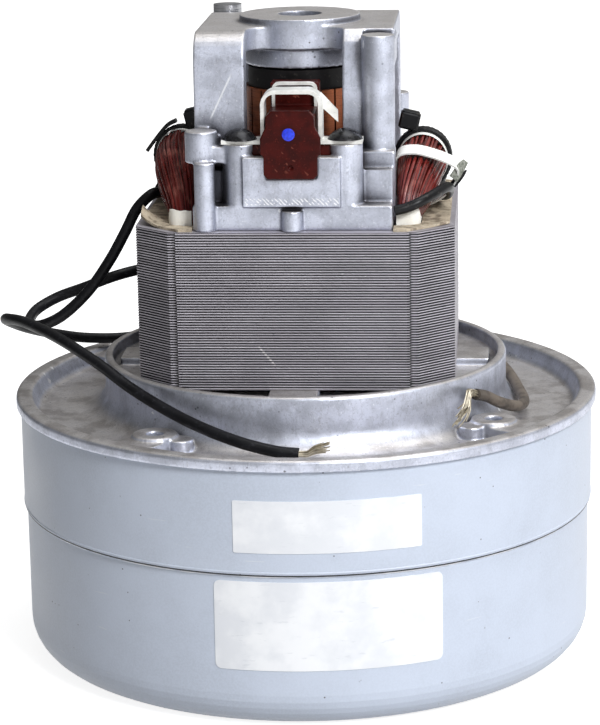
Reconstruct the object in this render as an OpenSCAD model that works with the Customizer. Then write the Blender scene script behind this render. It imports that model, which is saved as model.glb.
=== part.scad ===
// Vacuum motor unit: a two-stage through-flow fan drum under an open-frame universal motor.
// Frame: millimetres, +Z up, origin at the centre of the base, visible brush towards -Y.

/* [Fan drum] */
// Outside diameter of the upper fan shell
drum_d = 144.8; // [140:0.2:156]
// Sheet thickness of both fan shells
shell_wall = 0.7; // [0.5:0.1:1]
// Height of the seam between the two fan shells
seam_z = 39; // [36:0.5:43]
// Length that the lower shell slides into the upper one
shell_lap = 5; // [3:0.5:8]
// Outer corner radius at the base of the lower shell
base_corner_r = 9; // [6:0.5:12]
// Diameter of the inlet eye in the base
inlet_d = 50; // [44:1:54]
// Height of the turned-up lip round the inlet eye
inlet_lip = 3; // [2:0.5:4]
// Depth of the dished centre of the base
dish_h = 1.5; // [0.8:0.1:2]
// Diameter of the dished centre of the base
dish_d = 84; // [74:1:96]

/* [Fans] */
// Gap between the rim of a fan and the lower shell
fan_side_gap = 4.5; // [3:0.5:8]
// Gap between a fan and the plate below or above it
fan_end_gap = 3; // [2:0.2:3.6]
// Thickness of the fan plates
fan_plate = 1; // [0.8:0.1:1.4]
// Height of the fan vanes
vane_h = 11; // [9:0.5:11.5]
// Diameter of the eye of each fan
fan_eye_d = 55; // [53:1:60]
// Number of vanes in each fan
fan_vanes = 7; // [5:1:10]
// Thickness of a fan vane
fan_vane_t = 1; // [0.8:0.1:1.5]
// Height of the return passage between the two stages
return_h = 8; // [6:0.5:9]
// Number of return vanes between the two stages
return_vanes = 8; // [5:1:10]

/* [Fan-end bracket] */
// Height of the top of the bracket rim
rim_z = 66.8; // [66:0.2:70]
// Height of the rim edge
rim_h = 2.8; // [2:0.2:3.6]
// Overhang of the rim past the drum
rim_over = 1.1; // [0.5:0.1:2]
// Width of the flat on the rim
rim_w = 4.3; // [3:0.1:5.5]
// Depth of the pan below the rim
pan_depth = 4.5; // [3.5:0.1:5.5]
// Thickness of the pan floor
pan_floor = 3; // [2:0.2:4]
// Gap between the corners of the field core and the motor cup
core_fit = 0.4; // [0.3:0.05:0.8]
// Wall of the motor cup
cup_wall = 2.1; // [1.5:0.1:2.4]
// Height of the motor cup above the rim
cup_rise = 9.1; // [8.4:0.1:12]
// Thickness of the ledge that carries the field core
ledge_t = 2.6; // [2:0.1:3.4]
// Height of the seat pads on the ledge
pad_h = 1.9; // [1.2:0.1:3]
// Fillet between the cup and the pan floor
cup_fillet = 6; // [3:0.5:7]
// Pitch circle of the four tapped bosses in the pan
boss_pcd = 116; // [114:0.5:118]
// Diameter of a tapped boss
boss_d = 11; // [9:0.5:12]
// Tapped hole diameter in a boss
boss_hole_d = 4.2; // [3:0.1:5]
// Number of arms that carry the lower bearing
arm_count = 6; // [4:1:8]
// Thickness of a bearing arm
arm_t = 3.5; // [2.5:0.5:5]

/* [Field core] */
// Depth of a pole, from its bore to the side of the stack
pole_depth = 15.9; // [15.4:0.1:16.6]
// Depth of the lamination stack, front to back
core_d = 76.4; // [73:0.2:80]
// Height of the lamination stack
core_h = 38.5; // [34:0.5:44]
// Corner cut of the stack along its front
core_cut_x = 10; // [9:0.5:12]
// Corner cut of the stack along its side
core_cut_y = 9; // [8:0.5:11]
// Width of the stack beside the winding window
yoke_x = 8; // [7.6:0.1:8.4]
// Width of the stack in front of the winding window
yoke_y = 6.7; // [6.2:0.1:7.2]
// Gap between the armature and the poles
air_gap = 0.7; // [0.5:0.1:1]
// Radial thickness of a pole tip
pole_tip = 3; // [2.4:0.1:3.4]

/* [Field coils] */
// Number of loops shown in the outer layer of a coil
coil_loops = 10; // [8:1:10]
// Wire diameter of the outer layer
coil_wire = 0.85; // [0.7:0.05:0.9]
// Rise of the upper end turn above the stack
coil_top_rise = 12.2; // [11.6:0.2:14]
// Drop of the lower end turn below the stack
coil_low_drop = 7.4; // [7:0.1:7.6]
// Outward lean of the upper end turn
coil_lean = 3.8; // [3.2:0.1:4]

/* [Rotor] */
// Outside diameter of the armature
armature_d = 43.8; // [42:0.2:47]
// Number of armature slots
armature_slots = 12; // [8:1:12]
// Diameter of the commutator
comm_d = 27.6; // [26:0.2:28]
// Length of the commutator
comm_len = 17.8; // [16:0.2:18.6]
// Number of commutator bars
comm_bars = 22; // [16:1:24]
// Shaft diameter through the armature and the lower bearing
shaft_d = 10; // [9.6:0.1:10.4]
// Shaft diameter at the fans and the upper bearing
shaft_end_d = 8; // [7:0.1:8.4]

/* [Bearings] */
// Outside diameter of the upper bearing
upper_bearing_d = 22; // [21:0.5:23]
// Width of the upper bearing
upper_bearing_w = 7; // [6:0.5:7]
// Outside diameter of the lower bearing
lower_bearing_d = 26; // [25:0.5:27]
// Width of the lower bearing
lower_bearing_w = 8; // [7:0.5:8]

/* [Commutator-end bracket] */
// Height of the hub top above the field core
hub_h = 47.7; // [46.5:0.1:52]
// Diameter of the hub
hub_d = 29.8; // [29:0.2:31]
// Diameter of the opening in the hub top
hub_hole_d = 10.6; // [9:0.2:13]
// Width of a broad leg
leg_w = 12.2; // [11:0.1:12.6]
// Thickness of a broad leg
leg_t = 4.5; // [3.5:0.1:5]
// Height of the base frame
frame_h = 6; // [5:0.2:6.4]
// Set-back of the base frame from the front of the stack
frame_set = 2.7; // [2.4:0.1:3.2]
// Diameter of a bolt tower
tower_d = 8; // [7.4:0.1:8.4]
// Diameter of a through bolt
bolt_d = 3.8; // [3.4:0.1:4]

/* [Brush gear] */
// Height of the brush axis above the field core
brush_z = 20.2; // [20:0.1:20.6]
// Width of a brush
brush_w = 7; // [6:0.1:7.4]
// Height of a brush
brush_h = 11; // [9:0.1:11.4]
// Gap between a brush and the commutator
brush_gap = 0.15; // [0.1:0.05:0.3]
// Free length of a brush
brush_len = 15; // [13:0.5:15.5]
// Wall of the brass brush tube
tube_wall = 0.6; // [0.4:0.1:0.7]
// Distance from the brush seat to the front face of a brush holder
holder_proud = 2; // [1.6:0.1:2.6]
// Thickness of the front wall of a brush holder
holder_front = 2.5; // [2:0.1:3.5]
// Thickness of the clamp strap
strap_t = 0.9; // [0.6:0.1:1.2]
// Distance from the axis to a clamp screw, across
screw_x = 12.6; // [12.4:0.1:13]
// Diameter of a clamp screw head
screw_head_d = 8.4; // [7:0.2:8.6]

/* [Hidden] */
$fn = 96;

// Small overlap that lets two solids of one piece fuse, and a cut run past a face
e = 0.5;
// Depth that one wall of a casting runs into the next
lap = 1;
// Clearance of loose fits
slack = 0.2;

// Radii of the drum
drum_r = drum_d / 2;
upper_in_r = drum_r - shell_wall;
lower_in_r = upper_in_r - shell_wall;
fan_r = lower_in_r - fan_side_gap;

// Levels of the two fan stages, from the base up
fan1_z = shell_wall + fan_end_gap;
fan_h = 2 * fan_plate + vane_h;
return_z = fan1_z + fan_h + fan_end_gap;
stage_z = return_z + fan_plate + return_h;
fan2_z = stage_z + fan_plate + fan_end_gap;
fan2_top = fan2_z + fan_h;
washer_t = 1.2;
washer_r = 11;
spacer_r = 7;
spacer_room = 2;
nut_h = 6.5;
nut_af = 13;
shaft_end_z = fan1_z + fan_plate;
// Swing of a curved vane, its offset, and the inner ends of the two kinds of vane
vane_swing = 0.62;
vane_shift = 0.9;
vane_inset = 1;
return_eye_r = 27;
eye_lap = 1.5;

// Plan of the field core, from the armature outwards
core_bore = armature_d + 2 * air_gap;
core_w = core_bore + 2 * pole_depth;
core_corner_r = max(
  norm([core_w / 2 - core_cut_x, core_d / 2]),
  norm([core_w / 2, core_d / 2 - core_cut_y])
);
core_notch_w = 2.4;
core_notch_t = 0.8;
// Open joints between the packs of sheets: their number, height and depth
sheet_joints = 5;
joint_h = 0.3;
joint_t = 0.6;
window_x = core_w / 2 - yoke_x;
window_y = core_d / 2 - yoke_y;
window_r = 3;
liner_t = 0.4;
coil_room = 0.3;
// Half sizes of the bundle as [sideways, outwards] in the slot, over the top and under the stack
bundle_leg = [2.5, 6.9];
bundle_top = [5.6, 6.6];
bundle_low = [4.2, 6.4];
coil_leg_x = window_x - slack - liner_t - coil_room - bundle_leg[0];
coil_leg_y = window_y - slack - liner_t - coil_room - bundle_leg[1];
pole_side = 2.8;
pole_half = coil_leg_y - bundle_leg[1] - pole_side;
pole_tip_angle = 54;

// Plan of the commutator-end bracket, set between the coils and back from the front of the stack
tower_r = tower_d / 2;
bolt_gap = 0.4;
bolt_x = coil_leg_x - bundle_leg[0] - bolt_gap - tower_r;
leg_past = 3.6;
leg_x = bolt_x + leg_past;
frame_y = core_d / 2 - frame_set;
leg_set = 8.5;
leg_y = frame_y - leg_set;
bolt_set = 12.1;
bolt_y = frame_y - bolt_set;

// Fan-end bracket levels
pan_z = rim_z - pan_depth;
rim_r = drum_r + rim_over;
rim_edge = 0.6;
pan_wall_r = rim_r - rim_w;
pan_slope = 1;
cup_in_r = core_corner_r + core_fit;
cup_r = cup_in_r + cup_wall;
cup_top = rim_z + cup_rise;
core_sink = 1.4;
core_z = cup_top - core_sink;
ledge_z = core_z - pad_h - ledge_t;
ledge_r = 8;
ledge_x = coil_leg_x + bundle_low[0] + coil_room;
ledge_y = window_y + coil_room;
bolt_pad_r = bolt_d / 2 + 1.3;
bolt_pad_lap = 2;
spigot_h = 6;
spigot_t = 3;
boss_set = 0.4;
boss_z = rim_z - boss_set;
boss_step = 1;
boss_angles = [-124.5, -34.5, 55.5, 145.5];
// Rounded lump beside each boss: its turn from the boss, set-in and radius
lump_turns = [6, -6, 6, -6];
lump_in = 2;
lump_r = 3.2;
lump_drop = 0.9;
seat_gap = 2.1;
bearing_seat = fan2_top + washer_t + seat_gap;
bearing_wall = 4.5;
bearing_hub_r = lower_bearing_d / 2 + bearing_wall;
bearing_lip = 3;
arm_set = 1;
arm_z = bearing_seat + arm_set;
arm_lap = 2;
pad_angles = [0, 90, 180, 270];
pad_w = 12;
pad_in = 4;

// Field core and coil levels
core_top = core_z + core_h;
liner_rise = 3.4;
liner_drop = 0.4;
liner_flare = 0.8;
cuff_rise = 1.2;
liner_pole_gap = 1.6;
liner_in_y = pole_half + liner_pole_gap;
board_t = 0.6;
board_edge = 1.2;
loop_steps = 24;
arc_steps = 10;
leg_steps = 2;
coil_sides = 12;
wire_sides = 6;
coil_fan = 116;
// Angles that even out the loops round a flat bundle
even_first = 37;
even_second = 16;
core_gap = 0.25;

// Commutator-end bracket levels
hub_top = core_top + hub_h;
hub_r = hub_d / 2;
shoulder_drop = 1.7;
shoulder_z = hub_top - shoulder_drop;
plate_t = 5.5;
shoulder_r = 7;
tower_drop = 2.5;
tower_top = hub_top - tower_drop;
tower_solid = 8;
tower_foot = 0.6;
arm_drop = 3;
arm_end = 8;
fillet_r = 4.5;
hub_wall = 2.6;
bearing_boss_r = upper_bearing_d / 2 + hub_wall;
bearing_boss_h = 11.9;
bearing_boss_z = hub_top - bearing_boss_h;
seat_step = 0.8;
upper_seat = bearing_boss_z + seat_step;
preload_t = 0.6;
preload_w = 2.5;
web_w = 4.9;
web_t = 5;
web_set = 3;
web_y = leg_y - web_set;
web_bend = 14;
web_cut = 3;
rail_t = 2.3;
block_half = 11.6;
block_out = 1;
block_y = frame_y + block_out;
block_depth = 10.5;
block_back = block_y - block_depth;
block_lap = 0.2;
block_low = core_top + frame_h - block_lap;
shelf_drop = 4;
boss_r = 4.2;
screw_set = 4.1;
boss_y = frame_y - screw_set;
lug_in = 2;
lug_x = leg_x - lug_in;
lug_y = boss_y;
lug_r = 3.9;
lug_low = core_top + 16;
lug_h = 7.6;
lug_step = 0.6;
lug_deep = 6.5;
lug_out = 2.8;
post_r = 2.5;
post_set = 0.3;
post_in = 1;
rib_r = 2.6;
rib_drop = 1;
bolt_head_r = 3.6;
bolt_head_h = 2.3;
bolt_past = 3;
bolt_short = 10;

// Brush gear levels
brush_axis = core_top + brush_z;
comm_r = comm_d / 2;
comm_below = 7.7;
comm_z = brush_axis - comm_below;
comm_top = comm_z + comm_len;
bar_depth = 4.3;
comm_hub_r = comm_r - bar_depth;
comm_hub_below = 1.5;
collar_set = 0.8;
collar_gap = 0.6;
bar_gap = 0.5;
tang_h = 1.8;
tang_out = 1.6;
tube_w = brush_w + 2 * slack + 2 * tube_wall;
tube_h = brush_h + 2 * slack + 2 * tube_wall;
tang_gap = 0.6;
tube_end = comm_r + tang_out + tang_gap;
holder_y = block_y + holder_proud;
holder_wall = 1.6;
holder_cap = 2.65;
holder_sole = 1;
holder_half = tube_w / 2 + holder_wall;
holder_low = brush_axis - tube_h / 2 - holder_sole;
holder_top = brush_axis + tube_h / 2 + holder_cap;
// Face of the holder: half widths of its foot, its widest part and its top
face_foot_half = 6.4;
face_wide_half = 7.15;
face_top_half = 5.75;
face_foot = 1;
face_crown = 1.3;
// Its levels: the ledge, the shoulder where it starts to narrow, and the neck where that ends
face_ledge = brush_axis - 1.9;
face_step = 0.5;
face_shoulder = brush_axis + 2.4;
face_neck = brush_axis + 5.3;
dimple_z = brush_axis - 4.5;
dimple_r = 0.6;
dimple_t = 0.5;
holder_flange = holder_proud - slack;
collar_t = 5;
collar_rise = 1;
ear_half = 10.3;
ear_h = 2.8;
ear_room = 0.4;
ear_set = 3;
ear_back = leg_y - 7;
seat_drop = 2.4;
block_top = brush_axis - seat_drop;
boss_top = block_top + ear_h;
strap_gap = 0.5;
strap_half = holder_half + strap_gap;
strap_rise = 3.35;
strap_top = holder_top + strap_rise;
strap_r = 2.5;
strap_foot = 16.8;
strap_set = 4.3;
strap_front = holder_y - strap_set;
strap_w = 6.6;
// Wing at one side of the strap: its reach, and its heights below the top
wing_reach = 4.4;
wing_root = 3.4;
wing_tip = 4.7;
wing_low = 7.5;
wing_step = 0.3;
screw_head_h = 2.6;
screw_r = 1.8;
screw_len = 9;
brush_tail = 2;
spring_r = 2.4;
spring_wire = 0.6;
spring_turns = 4;
spring_steps = 8;

// Armature
arm_slot_r = 2.6;
arm_slot_in = 4.9;
arm_slot_mouth = 1.4;
arm_end_h = 9.5;
arm_end_set = 2.2;
arm_end_r = armature_d / 2 - arm_end_set;
arm_end_round = 3;
arm_hub = 2;
slot_fill = 0.15;
shaft_past = 0.6;
race_step = 2;

// Stickers: middle angle from the front, half angle, middle height, height and corner
upper_sticker_turn = 7.9;
upper_sticker_half = 17.7;
upper_sticker_z = 50.6;
upper_sticker_h = 12.6;
upper_sticker_r = 0.4;
lower_sticker_turn = 8.1;
lower_sticker_half = 22;
lower_sticker_z = 26.2;
lower_sticker_h = 21.8;
lower_sticker_r = 1.5;
sticker_t = 0.15;

// Leads
lead_r = 1.4;
lead_sides = 8;
rings_a = 40;
rings_b = 46;
sleeve_r = 1.5;
strand_r = 0.3;
strand_ring = 0.8;
strand_count = 5;
strand_rings = 5;
strand_splay = 1.6;
strand_bow = 0.4;
splice_r = 1.9;
splice_len = 10;

// Corners of the motor that the leads follow: coil leg, side, back and top of the stack
cx = coil_leg_x;
cy = -coil_leg_y;
sx = core_w / 2;
sy = core_d / 2;
st = core_top;
sleeve_route = [
  [cx - 2.8, cy - 9.6, st + 4.4], [cx, cy - 9, st + 5], [cx + 3.2, cy - 7.8, st + 6.2],
  [cx + 6.5, cy - 4, st + 7.4],
  [cx + 9, cy + 1.2, st + 8], [cx + 9.9, cy + 5.4, st + 7.2], [cx + 9.5, cy + 10.7, st + 4.8],
  [cx + 8.3, cy + 16.7, st + 3.3], [cx + 7.1, 0, st + 2.6], [cx + 6.9, 5, st + 2.5]
];
route_a = [
  [cx + 6.9, 5.2, st + 2.5], [cx + 6.9, 10, st + 2.5], [cx + 6.9, sy - 20, st + 2.5],
  [cx + 6.9, sy - 12, st + 2.5], [sx - 4.5, sy - 6.2, st + 2.3], [sx - 4.6, sy - 1.2, st],
  [sx - 6.8, sy + 1.6, st - 5], [sx - 10.5, sy + 4.4, st - 12], [sx - 14.5, sy + 6.8, st - 18],
  [sx - 19.5, sy + 9.2, st - 23.5], [12, 49.5, 85], [2, 51.5, 82],
  [-9, 53, 79], [-24, 51.5, 75],
  [-38, 48, 70.5], [-50, 43, 68.5], [-61, 37, 69.5], [-69, 31, 72], [-75, 21, 76], [-78, 8, 81],
  [-75.5, -3, 84], [-69, -12, 85], [-59, -23, 83.5], [-48.2, -32.5, 79.6], [-39.9, -38.3, 75.2],
  [-30.4, -45.8, 71.7], [-21.2, -52.5, 69.1], [-11.5, -58, 67], [-3, -60, 65.4], [2.5, -60.2, 64.9]
];
route_b = [
  [2.5 - sx, 4, st + 3], [2.5 - sx, 0.5, st + 3], [0.5 - sx, -2.6, st + 2.8], [-sx - 3, -4, st - 0.6],
  [-sx - 6.1, -4.6, st - 6.5], [-sx - 10.1, -5, st - 13.5], [-54, -6.5, 92], [-61, -6, 85.5],
  [-67.5, -2, 82], [-71.5, 6, 81], [-71, 13.5, 82.5],
  [-66, 17.5, 85], [-59, 18, 87.5], [-51, 18, 90.5], [-44.5, 22, 91.5], [-40.5, 31, 90],
  [-35, 38.6, 86.8], [-27, 43.5, 83.2], [-17, 46.5, 80.6], [-8, 48.3, 79.2], [0, 50.3, 78],
  [7, 52.4, 75.2], [14, 52, 71.6], [22, 48.6, 69.4], [31, 43.4, 68.7], [39, 36.4, 68.4],
  [45.2, 28.4, 68], [49.4, 19.6, 67], [52.2, 10, 66], [54, 0, 65.3], [55.2, -8.5, 65],
  [55, -15.5, 65.4], [52.8, -22, 66.5], [49, -25.4, 68.4], [46, -28, 70.5], [43.5, -32, 72]
];
// Middle of the splayed strands, measured from the end of each lead
strand_reach_a = [7, 0.5, 1.4];
strand_reach_b = [-4.5, -12, -3.6];

// Colours of the finishes
paint = [0.66, 0.71, 0.78];
cast = [0.72, 0.72, 0.74];
steel = [0.6, 0.61, 0.63];
lamination = [0.36, 0.36, 0.39];
copper = [0.72, 0.38, 0.2];
enamel = [0.5, 0.18, 0.1];
phenolic = [0.33, 0.1, 0.08];
zinc = [0.8, 0.8, 0.76];
black = [0.08, 0.08, 0.09];
cream = [0.85, 0.82, 0.74];
white = [0.95, 0.95, 0.97];
carbon = [0.2, 0.2, 0.21];
brass = [0.75, 0.6, 0.3];

// Points of a circular arc
function arc(c, r, a0, a1, n = 8) =
  [for (i = [0 : n]) c + r * [cos(a0 + (a1 - a0) * i / n), sin(a0 + (a1 - a0) * i / n)]];
function unit(v) = v / norm(v);
function mix(a, b, t) = a + (b - a) * t;

// Smooth route through hand-chosen points
function pick(p, i) = p[max(0, min(len(p) - 1, i))];
function between(p, i, t) = let (a = pick(p, i - 1), b = pick(p, i), c = pick(p, i + 1), d = pick(p, i + 2))
  0.5 * (2 * b + (c - a) * t + (2 * a - 5 * b + 4 * c - d) * t * t + (3 * b - a - 3 * c + d) * t * t * t);
function route(p, n) = [for (k = [0 : n - 1])
  let (s = k * (len(p) - 1) / (n - 1), i = min(floor(s), len(p) - 2)) between(p, i, s - i)];

// Direction along a line of points, and one ring of a tube square to it
function along(p, i) = unit(pick(p, i + 1) - pick(p, i - 1));
function ring(c, u, v, r, n) = [for (k = [0 : n - 1])
  let (turn = 360 * k / n) c + r * (cos(turn) * u + sin(turn) * v)];
function side_of(t) = unit(cross(t, abs(t[2]) > 0.9 ? [1, 0, 0] : [0, 0, 1]));

// Tube skin from a list of rings, closed by a fan of triangles at each end
module skin(rings) {
  n = len(rings[0]);
  last = len(rings) - 1;
  points = [for (r = rings) each r];
  sides = [for (i = [0 : last - 1], k = [0 : n - 1]) let (a = i * n + k, b = i * n + (k + 1) % n)
    each [[a, b, a + n], [b, b + n, a + n]]];
  caps = [for (k = [1 : n - 2]) each [[0, k + 1, k], [last * n, last * n + k, last * n + k + 1]]];
  polyhedron(points, concat(sides, caps));
}

// Closed loop skin from a list of rings
module loop_skin(rings) {
  n = len(rings[0]);
  m = len(rings);
  points = [for (r = rings) each r];
  sides = [for (i = [0 : m - 1], k = [0 : n - 1])
    let (next = (k + 1) % n, here = i * n, there = ((i + 1) % m) * n)
    each [[here + k, here + next, there + k], [here + next, there + next, there + k]]];
  polyhedron(points, sides);
}

// Cord of round section along a list of points
module cord(p, r) {
  skin([for (i = [0 : len(p) - 1])
    let (t = along(p, i), u = side_of(t)) ring(p[i], u, cross(u, t), r, lead_sides)]);
}

// Flat rectangle with round corners
module rounded(w, h, r) {
  square([w - 2 * r, h], center = true);
  square([w, h - 2 * r], center = true);
  for (x = [-1, 1], y = [-1, 1]) translate([x * (w / 2 - r), y * (h / 2 - r)]) circle(r);
}

// Upright plate with its outline in X and Z, from y0 to y1
module upright(y0, y1) {
  translate([0, y1, 0]) rotate([90, 0, 0]) linear_extrude(y1 - y0) children();
}

// Both ends of the motor: front and rear copies
module both() {
  for (a = [0, 180]) rotate(a) children();
}

module tube_solid(r_out, r_in, z0, z1) {
  translate([0, 0, z0]) difference() {
    cylinder(r = r_out, h = z1 - z0);
    translate([0, 0, -e]) cylinder(r = r_in, h = z1 - z0 + 2 * e);
  }
}

// Fan drum

module fan_shell_lower() {
  r = lower_in_r + shell_wall;
  b = base_corner_r;
  w = shell_wall;
  eye = inlet_d / 2;
  dish = dish_d / 2;
  color(paint) rotate_extrude() polygon(concat(
    arc([r - b, b], b, 0, -90),
    [[dish, 0], [dish - dish_h, dish_h], [eye, dish_h], [eye, w + inlet_lip]],
    [[eye + w, w + inlet_lip], [eye + w, dish_h + w]],
    [[dish - dish_h + w / 2, dish_h + w], [dish + w / 2, w]],
    arc([r - b, b], b - w, -90, 0),
    [[r - w, seam_z + shell_lap], [r, seam_z + shell_lap]]
  ));
}

module fan_shell_upper() {
  color(paint) tube_solid(drum_r, upper_in_r, seam_z, rim_z - rim_h);
}

// Curved vanes cut from a ring of arcs
module vane_set(count, r_in, r_out, t, h) {
  swing = vane_swing * r_out;
  linear_extrude(h) for (i = [0 : count - 1]) rotate(i * 360 / count) intersection() {
    difference() {
      circle(r_out);
      circle(r_in);
    }
    translate([-r_out, 0]) square([3 * r_out, r_out]);
    translate([vane_shift * swing, 0]) difference() {
      circle(swing);
      circle(swing - t);
    }
  }
}

module stationary_fan() {
  color(steel) translate([0, 0, return_z]) {
    tube_solid(fan_r, spacer_r + spacer_room, 0, fan_plate);
    translate([0, 0, fan_plate - e])
      vane_set(return_vanes, return_eye_r, lower_in_r, fan_vane_t, return_h + e);
  }
}

module interstage_plate() {
  color(steel) tube_solid(lower_in_r, fan_eye_d / 2 - eye_lap, stage_z, stage_z + fan_plate);
}

module fan_shroud(z) {
  color(steel) tube_solid(fan_r, fan_eye_d / 2, z, z + fan_plate);
}

module fan_vane_ring(z) {
  in_r = fan_eye_d / 2 + vane_inset;
  color(steel) translate([0, 0, z + fan_plate])
    vane_set(fan_vanes, in_r, fan_r - e, fan_vane_t, vane_h);
}

module fan_backplate(z) {
  color(steel) tube_solid(fan_r, shaft_end_d / 2, z + fan_plate + vane_h, z + fan_h);
}

module fan1_shroud() { fan_shroud(fan1_z); }
module fan1_vanes() { fan_vane_ring(fan1_z); }
module fan1_backplate() { fan_backplate(fan1_z); }
module fan2_shroud() { fan_shroud(fan2_z); }
module fan2_vanes() { fan_vane_ring(fan2_z); }
module fan2_backplate() { fan_backplate(fan2_z); }

module fan_spacer() {
  low = fan1_z + fan_h + washer_t;
  color(steel) tube_solid(spacer_r, shaft_end_d / 2, low, fan2_top - fan_plate - washer_t);
}

module fan_washers() {
  color(steel) for (z = [fan1_z + fan_h - fan_plate, fan2_top - fan_plate])
    for (s = [z - washer_t, z + fan_plate]) tube_solid(washer_r, shaft_end_d / 2, s, s + washer_t);
}

module fan_nut() {
  top = fan1_z + fan_h - fan_plate - washer_t;
  color(steel) translate([0, 0, top - nut_h]) difference() {
    cylinder(r = nut_af / 2 / cos(30), h = nut_h, $fn = 6);
    translate([0, 0, -e]) cylinder(d = shaft_end_d, h = nut_h + 2 * e);
  }
}

// Fan-end bracket

module pan_section() {
  low = pan_z - pan_floor;
  spigot = upper_in_r;
  f = cup_fillet;
  edge = rim_edge;
  foot = pan_wall_r - pan_slope;
  polygon(concat(
    [[cup_in_r, low], [cup_in_r, cup_top]],
    [[cup_r - edge, cup_top], [cup_r, cup_top - edge]],
    arc([cup_r + f, pan_z + f], f, 180, 270),
    [[foot - pan_slope, pan_z], [foot, pan_z + pan_slope], [pan_wall_r, rim_z - edge]],
    [[pan_wall_r + edge, rim_z], [rim_r - edge, rim_z], [rim_r, rim_z - edge]],
    [[rim_r, rim_z - rim_h], [spigot, rim_z - rim_h], [spigot, rim_z - rim_h - spigot_h]],
    [[spigot - spigot_t, rim_z - rim_h - spigot_h], [spigot - spigot_t, low]]
  ));
}

module ledge_section() {
  difference() {
    circle(cup_in_r + e);
    rounded(2 * ledge_x, 2 * ledge_y, ledge_r);
  }
  both() {
    translate([bolt_x, -bolt_y]) circle(bolt_pad_r);
    translate([bolt_x - bolt_pad_r, -ledge_y - bolt_pad_lap])
      square([2 * bolt_pad_r, ledge_y + bolt_pad_lap - bolt_y]);
  }
}

module pan_bosses() {
  h = boss_z - pan_z + e;
  for (i = [0 : len(boss_angles) - 1]) rotate(boss_angles[i]) {
    translate([boss_pcd / 2, 0, pan_z - e]) cylinder(d = boss_d, h = h);
    translate([boss_pcd / 2, -boss_d / 2, pan_z - e])
      cube([pan_wall_r - boss_pcd / 2, boss_d, h - boss_step]);
    rotate(lump_turns[i]) translate([boss_pcd / 2 - lump_in, 0, pan_z - e])
      cylinder(r = lump_r, h = h - lump_drop);
  }
}

module bearing_arms() {
  reach = upper_in_r - spigot_t + lap - bearing_hub_r + arm_lap;
  high = pan_z - pan_floor + e;
  for (i = [0 : arm_count - 1]) rotate((i + 1 / 2) * 360 / arm_count)
    translate([bearing_hub_r - arm_lap, -arm_t / 2, arm_z]) cube([reach, arm_t, high - arm_z]);
}

module seat_pads() {
  for (a = pad_angles) rotate(a)
    translate([-pad_w / 2, (a % 180 == 0 ? core_d : core_w) / 2 - pad_in, ledge_z + e])
      cube([pad_w, pad_w, ledge_t + pad_h - e]);
}

module fan_end_bracket() {
  lip = bearing_seat + lower_bearing_w;
  color(cast) difference() {
    union() {
      rotate_extrude() pan_section();
      translate([0, 0, ledge_z]) linear_extrude(ledge_t) ledge_section();
      intersection() {
        seat_pads();
        translate([0, 0, ledge_z]) cylinder(r = cup_in_r + e, h = ledge_t + pad_h);
      }
      pan_bosses();
      bearing_arms();
      translate([0, 0, bearing_seat]) cylinder(r = bearing_hub_r, h = lower_bearing_w + bearing_lip);
    }
    translate([0, 0, bearing_seat - e]) cylinder(d = lower_bearing_d, h = lower_bearing_w + e);
    translate([0, 0, lip - e]) cylinder(r = lower_bearing_d / 2 - bearing_lip, h = bearing_lip + 2 * e);
    both() translate([bolt_x, -bolt_y, ledge_z - e]) cylinder(d = bolt_d, h = ledge_t + 2 * e);
    for (a = boss_angles) rotate(a) translate([boss_pcd / 2, 0, pan_z])
      cylinder(d = boss_hole_d, h = pan_depth + e);
  }
}

// Rotor

module shaft() {
  top = upper_seat + upper_bearing_w + shaft_past;
  color(steel) {
    translate([0, 0, shaft_end_z]) cylinder(d = shaft_end_d, h = top - shaft_end_z);
    translate([0, 0, fan2_top + washer_t]) cylinder(d = shaft_d, h = upper_seat - fan2_top - washer_t);
  }
}

module armature_core() {
  slot_at = armature_d / 2 - arm_slot_in;
  color(lamination) translate([0, 0, core_z]) linear_extrude(core_h) difference() {
    circle(d = armature_d);
    circle(d = shaft_d);
    for (i = [0 : armature_slots - 1]) rotate(i * 360 / armature_slots) {
      translate([slot_at, 0]) circle(arm_slot_r, $fn = 32);
      translate([slot_at, -arm_slot_mouth / 2]) square([arm_slot_in + e, arm_slot_mouth]);
    }
  }
}

module armature_winding() {
  in_r = shaft_d / 2 + arm_hub;
  color(enamel) {
    for (z = [core_z - arm_end_h, core_top]) translate([0, 0, z]) rotate_extrude() difference() {
      translate([in_r, 0]) square([arm_end_r - in_r, arm_end_h]);
      translate([arm_end_r, z < core_z ? 0 : arm_end_h]) circle(arm_end_round);
    }
    for (i = [0 : armature_slots - 1]) rotate(i * 360 / armature_slots)
      translate([armature_d / 2 - arm_slot_in, 0, core_z - e])
        cylinder(r = arm_slot_r - slot_fill, h = core_h + 2 * e, $fn = 32);
  }
}

// Moulding inside the bars, with a collar above them
module commutator_hub() {
  color(black) {
    tube_solid(comm_hub_r, shaft_d / 2, comm_z - comm_hub_below, comm_top + e);
    tube_solid(comm_r - collar_set, shaft_d / 2, comm_top, bearing_boss_z - collar_gap);
  }
}

module commutator_bars() {
  color(copper) translate([0, 0, comm_z]) difference() {
    union() {
      cylinder(r = comm_r, h = comm_len);
      cylinder(r = comm_r + tang_out, h = tang_h);
    }
    translate([0, 0, -e]) cylinder(r = comm_hub_r, h = comm_len + 2 * e);
    for (i = [0 : comm_bars - 1]) rotate(i * 360 / comm_bars)
      translate([0, -bar_gap / 2, -e]) cube([comm_r + tang_out + e, bar_gap, comm_len + 2 * e]);
  }
}

// Ball bearings: races with a ball groove, a ring of balls and their cage

function pitch_r(d_in, d_out) = (d_in + d_out) / 4;
function ball_r(d_in, d_out) = (d_out - d_in) * 0.141;
ball_count = 7;
groove_gap = 0.12;
cage_wall = 0.5;
cage_share = 0.35;
land_share = 0.55;

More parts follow.
